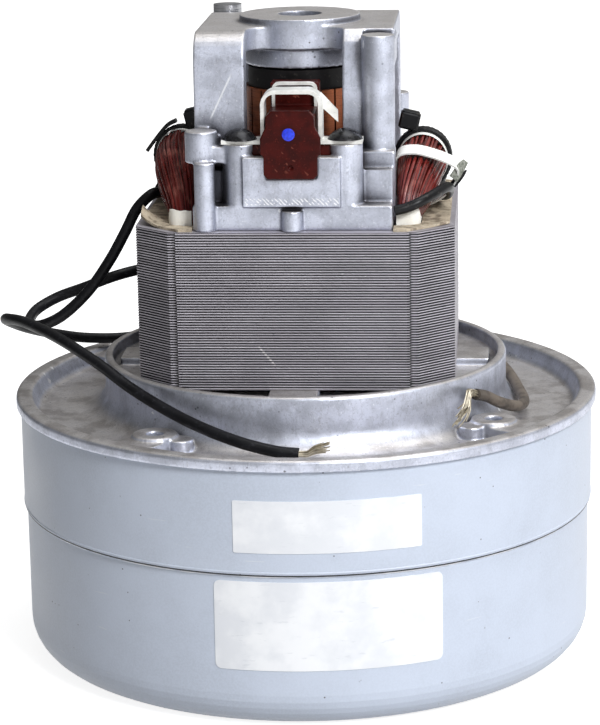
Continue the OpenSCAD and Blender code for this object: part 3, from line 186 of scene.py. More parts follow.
class Finish:
    """One procedural material, mapped in millimetres over the piece."""

    def __init__(self, name, metallic=0.0, roughness=0.5):
        self.material = bpy.data.materials.new(name)
        self.material.use_nodes = True
        self.nodes = self.material.node_tree.nodes
        self.links = self.material.node_tree.links
        self.shader = self.nodes["Principled BSDF"]
        self.set("Metallic", metallic)
        self.set("Roughness", roughness)
        self.place = self.nodes.new("ShaderNodeTexCoord").outputs["Object"]
        self.facts = self.nodes.new("ShaderNodeNewGeometry").outputs
        self.relief_end = None

    def set(self, socket, value):
        """Puts a plain number or colour on the shader."""
        if socket.endswith("Color"):
            value = (*value, 1.0)
        self.shader.inputs[socket].default_value = value

    def feed(self, node, socket, value):
        if isinstance(value, bpy.types.NodeSocket):
            self.links.new(value, node.inputs[socket])
        elif isinstance(value, tuple) and len(value) == 3 and node.inputs[socket].type == "RGBA":
            node.inputs[socket].default_value = (*value, 1.0)
        else:
            node.inputs[socket].default_value = value

    def spread(self, stretch=(1, 1, 1), shift=0.0):
        """Object place in millimetres, stretched along the axes."""
        node = self.nodes.new("ShaderNodeMapping")
        node.inputs["Scale"].default_value = tuple(1 / MM / s for s in stretch)
        node.inputs["Location"].default_value = (shift, 1.7 * shift, -0.6 * shift)
        self.links.new(self.place, node.inputs["Vector"])
        return node.outputs["Vector"]

    def noise(self, size, detail=3.0, stretch=(1, 1, 1), shift=0.0, rough=0.55):
        """Noise whose lumps are about size millimetres across."""
        node = self.nodes.new("ShaderNodeTexNoise")
        node.inputs["Scale"].default_value = 1 / size
        node.inputs["Detail"].default_value = detail
        node.inputs["Roughness"].default_value = rough
        self.links.new(self.spread(stretch, shift), node.inputs["Vector"])
        return node.outputs["Fac"]

    def cells(self, size, stretch=(1, 1, 1), shift=0.0, feature="F1"):
        """Distance to the nearest of points about size millimetres apart."""
        node = self.nodes.new("ShaderNodeTexVoronoi")
        node.feature = feature
        node.inputs["Scale"].default_value = 1 / size
        self.links.new(self.spread(stretch, shift), node.inputs["Vector"])
        return node.outputs["Distance"]

    def waves(self, pitch, axis="Z", wander=0.0, shift=0.0):
        """Bands square to an axis, pitch millimetres apart."""
        node = self.nodes.new("ShaderNodeTexWave")
        node.wave_type = "BANDS"
        node.bands_direction = axis
        node.inputs["Scale"].default_value = math.pi / 10 / pitch
        node.inputs["Distortion"].default_value = wander
        self.links.new(self.spread(shift=shift), node.inputs["Vector"])
        return node.outputs["Fac"]

    def axis(self, name):
        """Place along one axis, in millimetres."""
        node = self.nodes.new("ShaderNodeSeparateXYZ")
        self.links.new(self.spread(), node.inputs["Vector"])
        return node.outputs[name]

    def upward(self):
        """How far the surface looks up, from -1 to 1."""
        node = self.nodes.new("ShaderNodeSeparateXYZ")
        self.links.new(self.facts["Normal"], node.inputs["Vector"])
        return node.outputs["Z"]

    def openness(self, reach):
        """1 on an open face, less in corners closer than reach millimetres."""
        node = self.nodes.new("ShaderNodeAmbientOcclusion")
        node.only_local = True
        node.samples = 8
        node.inputs["Distance"].default_value = reach * MM
        return node.outputs["AO"]

    def stroke(self, middle, turn, half, width):
        """1 on a straight scratch in the front plane, 0 off it."""
        x = self.sums("SUBTRACT", self.axis("X"), middle[0])
        z = self.sums("SUBTRACT", self.axis("Z"), middle[1])
        along = self.sums("ADD", self.product(x, math.cos(turn)), self.product(z, math.sin(turn)))
        off = self.sums("SUBTRACT", self.product(z, math.cos(turn)), self.product(x, math.sin(turn)))
        near = self.band(self.sums("ABSOLUTE", off), width * 0.4, width, 1, 0)
        on = self.band(self.sums("ABSOLUTE", along), half * 0.7, half, 1, 0)
        return self.product(near, on)

    def sums(self, kind, first, second=0.0):
        node = self.nodes.new("ShaderNodeMath")
        node.operation = kind
        self.feed(node, 0, first)
        self.feed(node, 1, second)
        return node.outputs["Value"]

    def product(self, first, second):
        return self.sums("MULTIPLY", first, second)

    def band(self, value, low, high, start=0.0, end=1.0):
        """Value from low to high, mapped to start to end and held there."""
        node = self.nodes.new("ShaderNodeMapRange")
        node.interpolation_type = "SMOOTHSTEP"
        self.feed(node, "Value", value)
        for socket, number in zip(("From Min", "From Max", "To Min", "To Max"), (low, high, start, end)):
            node.inputs[socket].default_value = number
        return node.outputs["Result"]

    def blend(self, share, first, second, kind="MIX"):
        node = self.nodes.new("ShaderNodeMix")
        node.data_type = "RGBA"
        node.blend_type = kind
        self.feed(node, 0, share)
        self.feed(node, 6, first)
        self.feed(node, 7, second)
        return node.outputs[2]

    def colour(self, socket):
        self.links.new(socket, self.shader.inputs["Base Color"])

    def rough(self, socket):
        self.links.new(socket, self.shader.inputs["Roughness"])

    def relief(self, height, depth, strength=1.0):
        """Raises the surface by height, depth millimetres from low to high."""
        node = self.nodes.new("ShaderNodeBump")
        node.inputs["Strength"].default_value = strength
        node.inputs["Distance"].default_value = depth * MM
        self.links.new(height, node.inputs["Height"])
        if self.relief_end is not None:
            self.links.new(self.relief_end, node.inputs["Normal"])
        self.relief_end = node.outputs["Normal"]
        self.links.new(self.relief_end, self.shader.inputs["Normal"])


def times(colour, factor):
    return tuple(min(1.0, c * factor) for c in colour[:3])


FINISHES = {}


def finish(name):
    """The finish of that name, made once."""
    if name not in FINISHES:
        made = make_grained(name) if name in GRAINED else MAKERS[name]()
        FINISHES[name] = made.material
    return FINISHES[name]


# Finishes of one even grain: metal, roughness; grain size, detail, stretch; edges, dark and light tone of
# the grain; roughness from dark to light, where it changes; depth and strength of the relief
GRAINED = {
    "fan_metal": (
        (0.8, 0.4), (0.6, 3, (24, 1, 1)), (0.3, 0.7), shade(176, 178, 184), shade(214, 215, 218),
        (0.32, 0.5), (0.03, 0.3)),
    "steel": (
        (0.9, 0.32), (0.3, 3, (30, 30, 1)), (0.3, 0.7), shade(142, 144, 150), shade(190, 191, 194),
        (0.24, 0.42), (0.02, 0.3)),
    "tube_brass": (
        (0.9, 0.3), (0.4, 3, (1, 20, 1)), (0.3, 0.7), shade(176, 138, 70), shade(214, 178, 104),
        (0.24, 0.4), (0.02, 0.3)),
    "carbon": (
        (0.0, 0.6), (0.35, 4, (1, 1, 1)), (0.35, 0.7), shade(34, 34, 36), shade(74, 74, 78),
        None, (0.05, 0.5)),
    # Painted shadow: the dark ring under the rolled edge of the seam.
    "seam_shadow_dark": (
        (0.0, 0.6), (1.2, 4, (3, 3, 1)), (0.4, 0.66), shade(16, 17, 20), shade(54, 56, 62), None, (0.1, 0.5)),
    # Painted shade: the white tape's loose end, greyed as if in shadow.
    "tape_in_painted_shade": (
        (0.0, 0.7), (0.4, 3, (1, 1, 2)), (0.35, 0.65), shade(118, 122, 112), shade(172, 174, 164),
        None, (0.05, 0.4)),
}


def make_grained(name):
    """Finish of one even grain, from its row in the table."""
    body, (size, detail, stretch), edges, dark, light, rough, relief = GRAINED[name]
    f = Finish(name, *body)
    grain = f.noise(size, detail, stretch)
    f.colour(f.blend(f.band(grain, *edges), dark, light))
    if rough:
        f.rough(f.band(grain, *edges, *rough))
    f.relief(grain, *relief)
    return f


def make_painted_shell():
    f = Finish("painted_shell", roughness=0.42)
    base = tuple(colours().paint)
    cloud = f.noise(26, detail=4, shift=3)
    tone = f.blend(f.band(cloud, 0.35, 0.65), times(base, 0.93), times(base, 1.05))
    grain = f.noise(0.5, detail=2, shift=9)
    tone = f.blend(f.band(grain, 0.3, 0.7, 0, 0.35), tone, times(base, 1.16))
    specks = f.band(f.cells(3.4, shift=5), 0.05, 0.075, 1, 0)
    here = f.band(f.noise(14, detail=2, shift=21), 0.53, 0.62)
    tone = f.blend(f.product(specks, here), tone, shade(92, 94, 104))
    scratch = f.band(f.noise(1.4, detail=5, stretch=(9, 9, 0.7), shift=14), 0.69, 0.73)
    tone = f.blend(f.product(scratch, 0.45), tone, shade(220, 224, 230))
    f.colour(tone)
    f.rough(f.band(cloud, 0.3, 0.7, 0.36, 0.5))
    f.relief(f.noise(0.9, detail=2, shift=2), 0.05, 0.25)
    return f


def make_seam_edge():
    f = Finish("seam_edge", metallic=0.3, roughness=0.4)
    # Patches of the edge go near white: worn bare metal, and painted highlight along the rolled edge.
    worn_and_highlit = f.noise(2.5, detail=4, stretch=(4, 4, 1))
    f.colour(f.blend(f.band(worn_and_highlit, 0.36, 0.62), times(tuple(colours().paint), 0.9), shade(240, 241, 244)))
    f.relief(worn_and_highlit, 0.05, 0.4)
    return f


# Long rub down the face of the broad leg
LEG_RUB_AT = (-17.3, 144)
LEG_RUB_TURN = math.radians(64)
LEG_RUB_HALF = 6.5
LEG_RUB_W = 0.3
# Filed marks along the lower edge of the brush seat, by their spacing and where they fade
HATCH_PITCH = 0.5
HATCH_X = (11.1, 11.3)
HATCH_Z = (120.4, 121.8)
HATCH_LOW = (119.3, 119.5)
HATCH_Y = (-34.2, -33.6)
# Soil lies on the pan below this height
SOIL_Z = (72, 80)
# Painted shade darkens the hollows of the upper bracket above this height
HOLLOW_SHADE_Z = (95, 105)


def make_cast_aluminium():
    f = Finish("cast_aluminium", metallic=0.8, roughness=0.42)
    base = tuple(colours().casting)
    cloud = f.noise(6, detail=5, shift=1)
    tone = f.blend(f.band(cloud, 0.36, 0.64), times(base, 0.74), base)
    # Upward faces are painted lighter and warmer: partly dust, partly painted light from above.
    dust = f.band(f.upward(), 0.5, 0.9, 0, 0.6)
    tone = f.blend(dust, tone, shade(226, 218, 208))
    soil = f.product(dust, f.band(f.noise(7, detail=5, shift=52), 0.42, 0.62, 0, 0.7))
    soil = f.product(soil, f.band(f.axis("Z"), *SOIL_Z, 1, 0))
    tone = f.blend(soil, tone, shade(112, 101, 92))
    skin = f.noise(0.5, detail=4, shift=6, rough=0.7)
    tone = f.blend(f.band(skin, 0.45, 0.32, 0, 0.4), tone, times(base, 0.4))
    tone = f.blend(f.band(skin, 0.6, 0.72, 0, 0.7), tone, shade(244, 245, 250))
    flow = f.noise(3.2, detail=4, stretch=(1, 1, 2.5), shift=27)
    vein = f.band(f.sums("ABSOLUTE", f.sums("SUBTRACT", flow, 0.5)), 0.004, 0.016, 0.25, 0)
    tone = f.blend(vein, tone, times(base, 0.4))
    pits = f.band(f.cells(1.7, shift=33), 0.1, 0.2, 1, 0)
    pits = f.product(pits, f.band(f.noise(7, shift=41), 0.54, 0.64))
    tone = f.blend(f.product(pits, 0.8), tone, shade(70, 68, 72))
    # Convex edges go near white in patches: worn metal, and painted highlight on the edges.
    worn_and_highlit = f.band(f.facts["Pointiness"], 0.53, 0.57)
    nicks_and_highlights = f.product(worn_and_highlit, f.band(f.noise(1.8, detail=3, shift=11), 0.4, 0.56))
    tone = f.blend(f.product(nicks_and_highlights, 0.9), tone, shade(248, 249, 252))
    # Painted shade: the hollows of the upper bracket darken to a dark blue-grey.
    hollow_shade = f.product(f.band(f.openness(12), 0.92, 0.42, 0, 0.92), f.band(f.axis("Z"), *HOLLOW_SHADE_Z))
    tone = f.blend(hollow_shade, tone, shade(58, 58, 68))
    # Painted shade: close corners and creases of the castings darken.
    crease_shade = f.band(f.openness(2.6), 0.8, 0.42, 0, 0.8)
    tone = f.blend(crease_shade, tone, shade(56, 52, 54))
    rub = f.stroke(LEG_RUB_AT, LEG_RUB_TURN, LEG_RUB_HALF, LEG_RUB_W)
    tone = f.blend(f.product(rub, 0.6), tone, shade(248, 249, 252))
    hatch = f.product(f.waves(HATCH_PITCH, "DIAGONAL", 2.0), f.band(f.axis("Z"), *HATCH_Z, 1, 0))
    hatch = f.product(hatch, f.band(f.axis("Y"), *HATCH_Y, 1, 0))
    hatch = f.product(hatch, f.band(f.sums("ABSOLUTE", f.axis("X")), *HATCH_X, 1, 0))
    hatch = f.product(hatch, f.band(f.axis("Z"), *HATCH_LOW))
    hatch = f.product(hatch, f.band(f.noise(1.2, shift=61), 0.35, 0.55))
    tone = f.blend(f.band(hatch, 0.35, 0.75, 0, 0.75), tone, shade(250, 250, 252))
    f.colour(tone)
    f.rough(f.band(skin, 0.35, 0.7, 0.5, 0.32))
    f.relief(skin, 0.09, 0.45)
    f.relief(f.noise(2.4, detail=3, shift=8), 0.18, 0.3)
    return f


# Scratch across the front of the stack: its middle, direction, half length and width
SCRATCH_AT = (-6.5, 83)
SCRATCH_TURN = math.radians(-49.5)
SCRATCH_HALF = 3.4
SCRATCH_W = 0.3


def make_laminations():
    f = Finish("laminations", metallic=0.4, roughness=0.45)
    base = tuple(colours().sheet_edge)
    sheet = f.facts["Random Per Island"]
    tone = f.blend(sheet, times(base, 0.78), times(base, 1.1))
    stain = f.noise(14, detail=4, shift=15)
    tone = f.blend(f.band(stain, 0.38, 0.66, 0, 0.45), tone, times(base, 0.62))
    burr = f.noise(1.3, detail=4, stretch=(1, 1, 0.3), shift=4)
    tone = f.blend(f.band(burr, 0.67, 0.74, 0, 0.75), tone, shade(232, 230, 234))
    tone = f.blend(f.band(burr, 0.36, 0.27, 0, 0.6), tone, times(base, 0.3))
    # Painted shade: the gaps between sheets and other close corners darken nearly to black.
    tone = f.blend(f.band(f.openness(0.8), 0.96, 0.66, 0, 0.97), tone, shade(12, 11, 13))
    scratch = f.stroke(SCRATCH_AT, SCRATCH_TURN, SCRATCH_HALF, SCRATCH_W)
    tone = f.blend(f.product(scratch, 0.8), tone, shade(226, 222, 222))
    f.colour(tone)
    f.rough(f.band(burr, 0.3, 0.7, 0.52, 0.38))
    f.relief(burr, 0.06, 0.4)
    return f


def make_enamelled_wire():
    f = Finish("enamelled_wire", roughness=0.3)
    base = tuple(colours().enamel)
    wire = f.facts["Random Per Island"]
    tone = f.blend(wire, times(base, 0.35), times(base, 1.35))
    dust = f.noise(3.5, detail=4, stretch=(1, 1, 1.6), shift=2)
    tone = f.blend(f.band(dust, 0.54, 0.72, 0, 0.45), tone, shade(186, 118, 104))
    tone = f.blend(f.band(dust, 0.44, 0.3, 0, 0.6), tone, shade(48, 14, 13))
    f.colour(tone)
    f.rough(f.band(dust, 0.3, 0.7, 0.24, 0.42))
    f.relief(f.noise(0.4, detail=2), 0.03, 0.3)
    f.set("Coat Weight", 0.35)
    f.set("Coat Roughness", 0.2)
    return f


def make_commutator_copper():
    f = Finish("commutator_copper", metallic=0.75, roughness=0.34)
    base = tuple(colours().copper)
    turned = f.noise(0.25, detail=3, stretch=(18, 18, 1))
    tone = f.blend(f.band(turned, 0.3, 0.7), times(base, 0.72), times(base, 1.16))
    track = f.band(f.noise(4, detail=3, stretch=(3, 3, 1), shift=7), 0.5, 0.68, 0, 0.6)
    tone = f.blend(track, tone, shade(96, 52, 38))
    f.colour(tone)
    f.rough(f.band(turned, 0.3, 0.7, 0.26, 0.44))
    f.relief(turned, 0.03, 0.4)
    return f


def plain_moulding(name, colour, roughness, grain):
    f = Finish(name, roughness=roughness)
    cloud = f.noise(6, detail=4, shift=3)
    tone = f.blend(f.band(cloud, 0.35, 0.68), times(colour, 0.75), times(colour, 1.3))
    dust = f.band(f.noise(1.1, detail=4, shift=13), 0.58, 0.74, 0, 0.22)
    f.colour(f.blend(dust, tone, shade(122, 116, 108)))
    f.rough(f.band(cloud, 0.3, 0.7, roughness - 0.08, roughness + 0.1))
    f.relief(f.noise(grain, detail=3), 0.05, 0.35)
    return f


def make_moulding():
    f = plain_moulding("moulding", shade(20, 18, 19), 0.5, 0.5)
    f.set("Specular IOR Level", 0.2)
    return f


def make_black_tie():
    f = plain_moulding("black_tie", tuple(colours().rubber), 0.38, 0.6)
    f.set("Specular IOR Level", 0.25)
    return f


# Side of the unit on which the end of a lead is dusty
DUSTY_X = (38, 50)


def make_lead_insulation():
    f = Finish("lead_insulation", roughness=0.42)
    base = tuple(colours().rubber)
    cloud = f.noise(6, detail=4, shift=3)
    tone = f.blend(f.band(cloud, 0.35, 0.68), times(base, 0.7), times(base, 1.7))
    dust = f.band(f.noise(1.1, detail=4, shift=13), 0.56, 0.72, 0.02, 0.14)
    tone = f.blend(dust, tone, shade(96, 98, 106))
    soil = f.product(f.band(f.axis("X"), *DUSTY_X), f.band(f.noise(2.6, detail=4), 0.3, 0.62, 0.3, 0.75))
    tone = f.blend(soil, tone, shade(122, 112, 102))
    f.colour(tone)
    f.rough(f.band(cloud, 0.3, 0.7, 0.36, 0.52))
    f.relief(f.noise(0.8, detail=3), 0.05, 0.35)
    f.set("Specular IOR Level", 0.22)
    return f


def make_holder_moulding():
    f = Finish("holder_moulding", roughness=0.3)
    base = tuple(colours().holder)
    cloud = f.noise(3.4, detail=5, shift=2)
    tone = f.blend(f.band(cloud, 0.34, 0.66), times(base, 0.7), times(base, 1.25))
    fleck = f.band(f.noise(0.45, detail=3, shift=17), 0.62, 0.72, 0, 0.4)
    tone = f.blend(fleck, tone, shade(120, 46, 36))
    rub = f.band(f.facts["Pointiness"], 0.57, 0.66, 0, 0.4)
    f.colour(f.blend(rub, tone, shade(150, 84, 70)))
    f.rough(f.band(cloud, 0.3, 0.7, 0.28, 0.42))
    f.relief(f.noise(0.8, detail=3), 0.05, 0.3)
    f.set("Specular IOR Level", 0.12)
    return f


def make_holder_dot():
    f = Finish("holder_dot", roughness=0.35)
    base = tuple(colours().mark)
    cloud = f.noise(0.7, detail=3)
    f.colour(f.blend(f.band(cloud, 0.3, 0.7), times(base, 0.75), times(base, 1.25)))
    f.relief(cloud, 0.05, 0.4)
    return f


def make_zinc_strip():
    f = Finish("zinc_strip", metallic=0.3, roughness=0.42)
    cloud = f.noise(3, detail=4, shift=6)
    tone = f.blend(f.band(cloud, 0.35, 0.65), shade(222, 221, 216), shade(246, 245, 241))
    scratch = f.band(f.noise(0.3, detail=3, stretch=(10, 1, 1)), 0.62, 0.72, 0, 0.5)
    f.colour(f.blend(scratch, tone, shade(160, 158, 152)))
    f.rough(f.band(cloud, 0.3, 0.7, 0.34, 0.52))
    f.relief(f.noise(0.5, detail=3), 0.04, 0.35)
    return f


def make_black_steel():
    f = Finish("black_steel", metallic=0.3, roughness=0.3)
    cloud = f.noise(1.6, detail=4)
    tone = f.blend(f.band(cloud, 0.35, 0.68), shade(12, 12, 14), shade(40, 40, 44))
    f.colour(tone)
    f.rough(f.band(cloud, 0.3, 0.7, 0.2, 0.4))
    f.relief(f.noise(0.4, detail=3), 0.04, 0.4)
    return f


def make_slot_paper():
    f = Finish("slot_paper", roughness=0.75)
    base = tuple(colours().paper)
    cloud = f.noise(7, detail=4, shift=4)
    tone = f.blend(f.band(cloud, 0.35, 0.65), times(base, 0.82), times(base, 1.1))
    fibre = f.noise(0.5, detail=4, shift=8)
    tone = f.blend(f.band(fibre, 0.5, 0.72, 0, 0.4), tone, shade(232, 224, 206))
    stain = f.band(f.noise(2.2, detail=5, shift=19), 0.46, 0.64, 0, 0.75)
    f.colour(f.blend(stain, tone, shade(98, 84, 70)))
    f.relief(fibre, 0.05, 0.4)
    return f


def make_cuff_paper():
    f = Finish("cuff_paper", roughness=0.7)
    cloud = f.noise(5, detail=4, shift=4)
    tone = f.blend(f.band(cloud, 0.35, 0.65), shade(238, 235, 226), shade(250, 249, 244))
    fibre = f.noise(0.45, detail=4, stretch=(5, 5, 1), shift=8)
    f.colour(f.blend(f.band(fibre, 0.55, 0.75, 0, 0.35), tone, shade(196, 186, 168)))
    f.relief(fibre, 0.05, 0.4)
    return f


def make_white_tape():
    f = Finish("white_tape", roughness=0.7)
    base = tuple(colours().tape)
    weave = f.product(f.waves(0.35, "Z", 0.6), f.waves(0.35, "Y", 0.6))
    tone = f.blend(f.band(weave, 0.1, 0.8), times(base, 0.9), base)
    soil = f.band(f.noise(2.6, detail=4, shift=5), 0.55, 0.75, 0, 0.3)
    f.colour(f.blend(soil, tone, shade(190, 182, 168)))
    f.relief(weave, 0.06, 0.4)
    return f


def make_strand_copper():
    f = Finish("strand_copper", metallic=0.7, roughness=0.35)
    strand = f.facts["Random Per Island"]
    tone = f.blend(strand, shade(158, 146, 122), shade(224, 216, 198))
    dust = f.band(f.noise(1.5, detail=3), 0.5, 0.7, 0, 0.5)
    f.colour(f.blend(dust, tone, shade(104, 94, 82)))
    f.relief(f.noise(0.3, detail=2), 0.02, 0.3)
    return f


def make_sticker_paper():
    f = Finish("sticker_paper", roughness=0.48)
    cloud = f.noise(9, detail=4, shift=12)
    tone = f.blend(f.band(cloud, 0.35, 0.65), shade(230, 232, 237), shade(246, 247, 250))
    rub = f.band(f.noise(1.2, detail=5, stretch=(4, 4, 1), shift=3), 0.62, 0.74, 0, 0.3)
    f.colour(f.blend(rub, tone, shade(186, 190, 198)))
    f.rough(f.band(cloud, 0.3, 0.7, 0.42, 0.56))
    f.relief(f.noise(3, detail=3), 0.04, 0.3)
    return f


MAKERS = {make.__name__.removeprefix("make_"): make for make in (
    make_painted_shell, make_seam_edge, make_cast_aluminium, make_laminations, make_enamelled_wire,
    make_commutator_copper, make_moulding, make_black_tie, make_lead_insulation, make_holder_moulding,
    make_holder_dot, make_zinc_strip, make_black_steel, make_slot_paper, make_cuff_paper, make_white_tape,
    make_strand_copper, make_sticker_paper)}


class Shape:
    """Points and faces of one piece, in millimetres."""

    def __init__(self):
        self.points = []
        self.faces = []

    def sweep(self, rings, closed=False, caps=True):
        """Skin over a row of rings, each a closed line of points."""
        start = len(self.points)
        count = len(rings[0])
        for ring in rings:
            self.points.extend(Vector(p) for p in ring)
        last = len(rings)
        for i in range(last if closed else last - 1):
            here = start + i * count
            there = start + (i + 1) % last * count
            for k in range(count):
                nxt = (k + 1) % count
                self.faces.append((here + k, here + nxt, there + nxt, there + k))
        if caps and not closed:
            self.faces.append(tuple(start + k for k in reversed(range(count))))
            self.faces.append(tuple(start + (last - 1) * count + k for k in range(count)))

    def tube(self, line, radius, sides=8, closed=False):
        """Round tube along a line of points."""
        self.sweep(rings_along(line, radius, sides, closed), closed)

    def turned(self, other):
        """Adds a copy of another shape, moved by a matrix."""
        shape, matrix = other
        start = len(self.points)
        self.points.extend(matrix @ p for p in shape.points)
        self.faces.extend(tuple(start + k for k in face) for face in shape.faces)

    def piece(self, name, look, body="housing", slot=None, nodes=(), smooth=True):
        """Makes the object, finished and riding on its body."""
        mesh = bpy.data.meshes.new(name)
        mesh.from_pydata([p * MM for p in self.points], [], self.faces)
        obj = bpy.data.objects.new(name, mesh)
        bpy.context.scene.collection.objects.link(obj)
        form = bmesh.new()
        form.from_mesh(mesh)
        bmesh.ops.recalc_face_normals(form, faces=form.faces)
        form.to_mesh(mesh)
        form.free()
        return settle(obj, look, body, nodes, smooth)


def settle(obj, look, body, nodes=(), smooth=True, angle=40):
    """Finishes an object and ties it to its body and the nodes that it stands for."""
    obj.data.materials.clear()
    obj.data.materials.append(finish(look))
    if smooth:
        obj.data.shade_smooth()
        obj.data.set_sharp_from_angle(angle=math.radians(angle))
    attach(obj, body)
    if nodes:
        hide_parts(*nodes)
    return obj


def rings_along(line, radius, sides, closed=False):
    """Rings of a tube, carried along the line without twist."""
    line = [Vector(p) for p in line]
    count = len(line)
    ahead = []
    for i in range(count):
        before = line[i - 1] if closed or i else line[0]
        after = line[(i + 1) % count] if closed or i < count - 1 else line[-1]
        ahead.append((after - before).normalized())
    side = ahead[0].orthogonal().normalized()
    rings = []
    for i in range(count):
        side = (side - ahead[i] * side.dot(ahead[i])).normalized()
        lift = ahead[i].cross(side)
        size = radius(i / (count - 1)) if callable(radius) else radius
        rings.append([
            line[i] + size * (math.cos(t) * side + math.sin(t) * lift)
            for t in (math.tau * k / sides for k in range(sides))])
    return rings


def smooth_route(route, count, closed=False):
    """Points of a smooth line through the route, as the part's own leads run."""
    points = [Vector(p) for p in route]
    last = len(points) - (0 if closed else 1)
    line = []
    for k in range(count):
        s = k * last / (count if closed else count - 1)
        i = min(int(s), last - 1)
        t = s - i
        near = (i - 1, i, i + 1, i + 2)
        a, b, c, d = (points[j % last if closed else max(0, min(last, j))] for j in near)
        line.append(0.5 * (
            2 * b + (c - a) * t + (2 * a - 5 * b + 4 * c - d) * t ** 2
            + (3 * b - a - 3 * c + d) * t ** 3))
    return line


def half_turn():
    return Matrix.Rotation(math.pi, 4, "Z")


def wander(rng, waves=3):
    """A smooth random line between -1 and 1 over one loop."""
    parts = [(rng.uniform(0.4, 1.0), k + 1, rng.uniform(0, math.tau)) for k in range(waves)]
    total = sum(p[0] for p in parts)
    return lambda t: sum(a * math.sin(math.tau * k * t + p) for a, k, p in parts) / total


def mix(first, second, share):
    return first + (second - first) * share


# Middle line and section of a field coil, as the part draws them
LOOP_STEPS = 24
ARC_STEPS = 10
LEG_STEPS = 2
COIL_LEG = Vector((27.1, 23.7))
COIL_RISE = 12.2
COIL_DROP = 7.4
COIL_LEAN = 3.2
BUNDLE_LEG = Vector((2.5, 6.9))
BUNDLE_TOP = Vector((6.2, 6.6))
BUNDLE_LOW = Vector((4.2, 6.4))


def coil_part(i):
    """Which run of the coil point i lies on, and how far along it."""
    k = i % LOOP_STEPS
    if k <= ARC_STEPS:
        return "top", math.pi * k / ARC_STEPS
    if k < ARC_STEPS + LEG_STEPS:
        return "front", (k - ARC_STEPS) / LEG_STEPS
    if k <= LOOP_STEPS - LEG_STEPS:
        return "low", math.pi * (k - ARC_STEPS - LEG_STEPS) / ARC_STEPS
    return "back", (k - LOOP_STEPS + LEG_STEPS) / LEG_STEPS


def coil_mid(i):
    run, t = coil_part(i)
    low = CORE_LOW.z
    high = CORE_HIGH.z
    if run == "top":
        return Vector((
            COIL_LEG.x + COIL_LEAN * math.sin(t), COIL_LEG.y * math.cos(t), high + COIL_RISE * math.sin(t)))
    if run == "low":
        return Vector((COIL_LEG.x, -COIL_LEG.y * math.cos(t), low - COIL_DROP * math.sin(t)))
    if run == "front":
        return Vector((COIL_LEG.x, -COIL_LEG.y, mix(high, low, t)))
    return Vector((COIL_LEG.x, COIL_LEG.y, mix(low, high, t)))


def coil_size(i):
    run, t = coil_part(i)
    if run == "top":
        return BUNDLE_LEG.lerp(BUNDLE_TOP, math.sin(t))
    if run == "low":
        return BUNDLE_LEG.lerp(BUNDLE_LOW, math.sin(t))
    return BUNDLE_LEG.copy()


def coil_axes(i):
    """Directions along the coil, out of its loop and to its side."""
    ahead = (coil_mid(i + 1) - coil_mid(i - 1)).normalized()
    out = ahead.cross(Vector((1, 0, 0))).normalized()
    return ahead, out, out.cross(ahead)


def on_bundle(i, turn, inset):
    """Point on the skin of the bundle, pulled in by inset."""
    size = coil_size(i)
    ahead, out, side = coil_axes(i)
    reach = (size.x - inset) * math.sin(turn) * side + (size.y - inset) * math.cos(turn) * out
    return coil_mid(i) + reach


def even_turn(turn, i):
    """Turn that spaces wires evenly round the flat section of the bundle."""
    size = coil_size(i)
    flat = (size.y - size.x) / (size.y + size.x)
    return turn + 0.5 * flat * math.sin(2 * turn)


class MotorOperator(bpy.types.Operator):
    """Common options of the motor's operators."""

    bl_options = {"REGISTER", "UNDO"}


class MOTOR_OT_camera(MotorOperator):
    """Places the camera"""

    bl_idname = "motor.camera"
    bl_label = "Camera"

    def execute(self, context):
        look = stage()
        data = bpy.data.cameras.new("camera")
        data.sensor_width = 36
        data.lens = look.lens
        data.clip_start = 0.01
        camera = bpy.data.objects.new("camera", data)
        context.scene.collection.objects.link(camera)
        flat = math.cos(look.pitch)
        ahead = Vector((math.sin(look.yaw) * flat, math.cos(look.yaw) * flat, -math.sin(look.pitch)))
        right = Vector((math.cos(look.yaw), -math.sin(look.yaw), 0))
        up = right.cross(ahead)
        turn = Matrix((
            right * math.cos(look.roll) + up * math.sin(look.roll),
            up * math.cos(look.roll) - right * math.sin(look.roll),
            -ahead)).transposed()
        camera.matrix_world = Matrix.Translation(look.eye) @ turn.to_4x4()
        context.scene.camera = camera
        return {"FINISHED"}


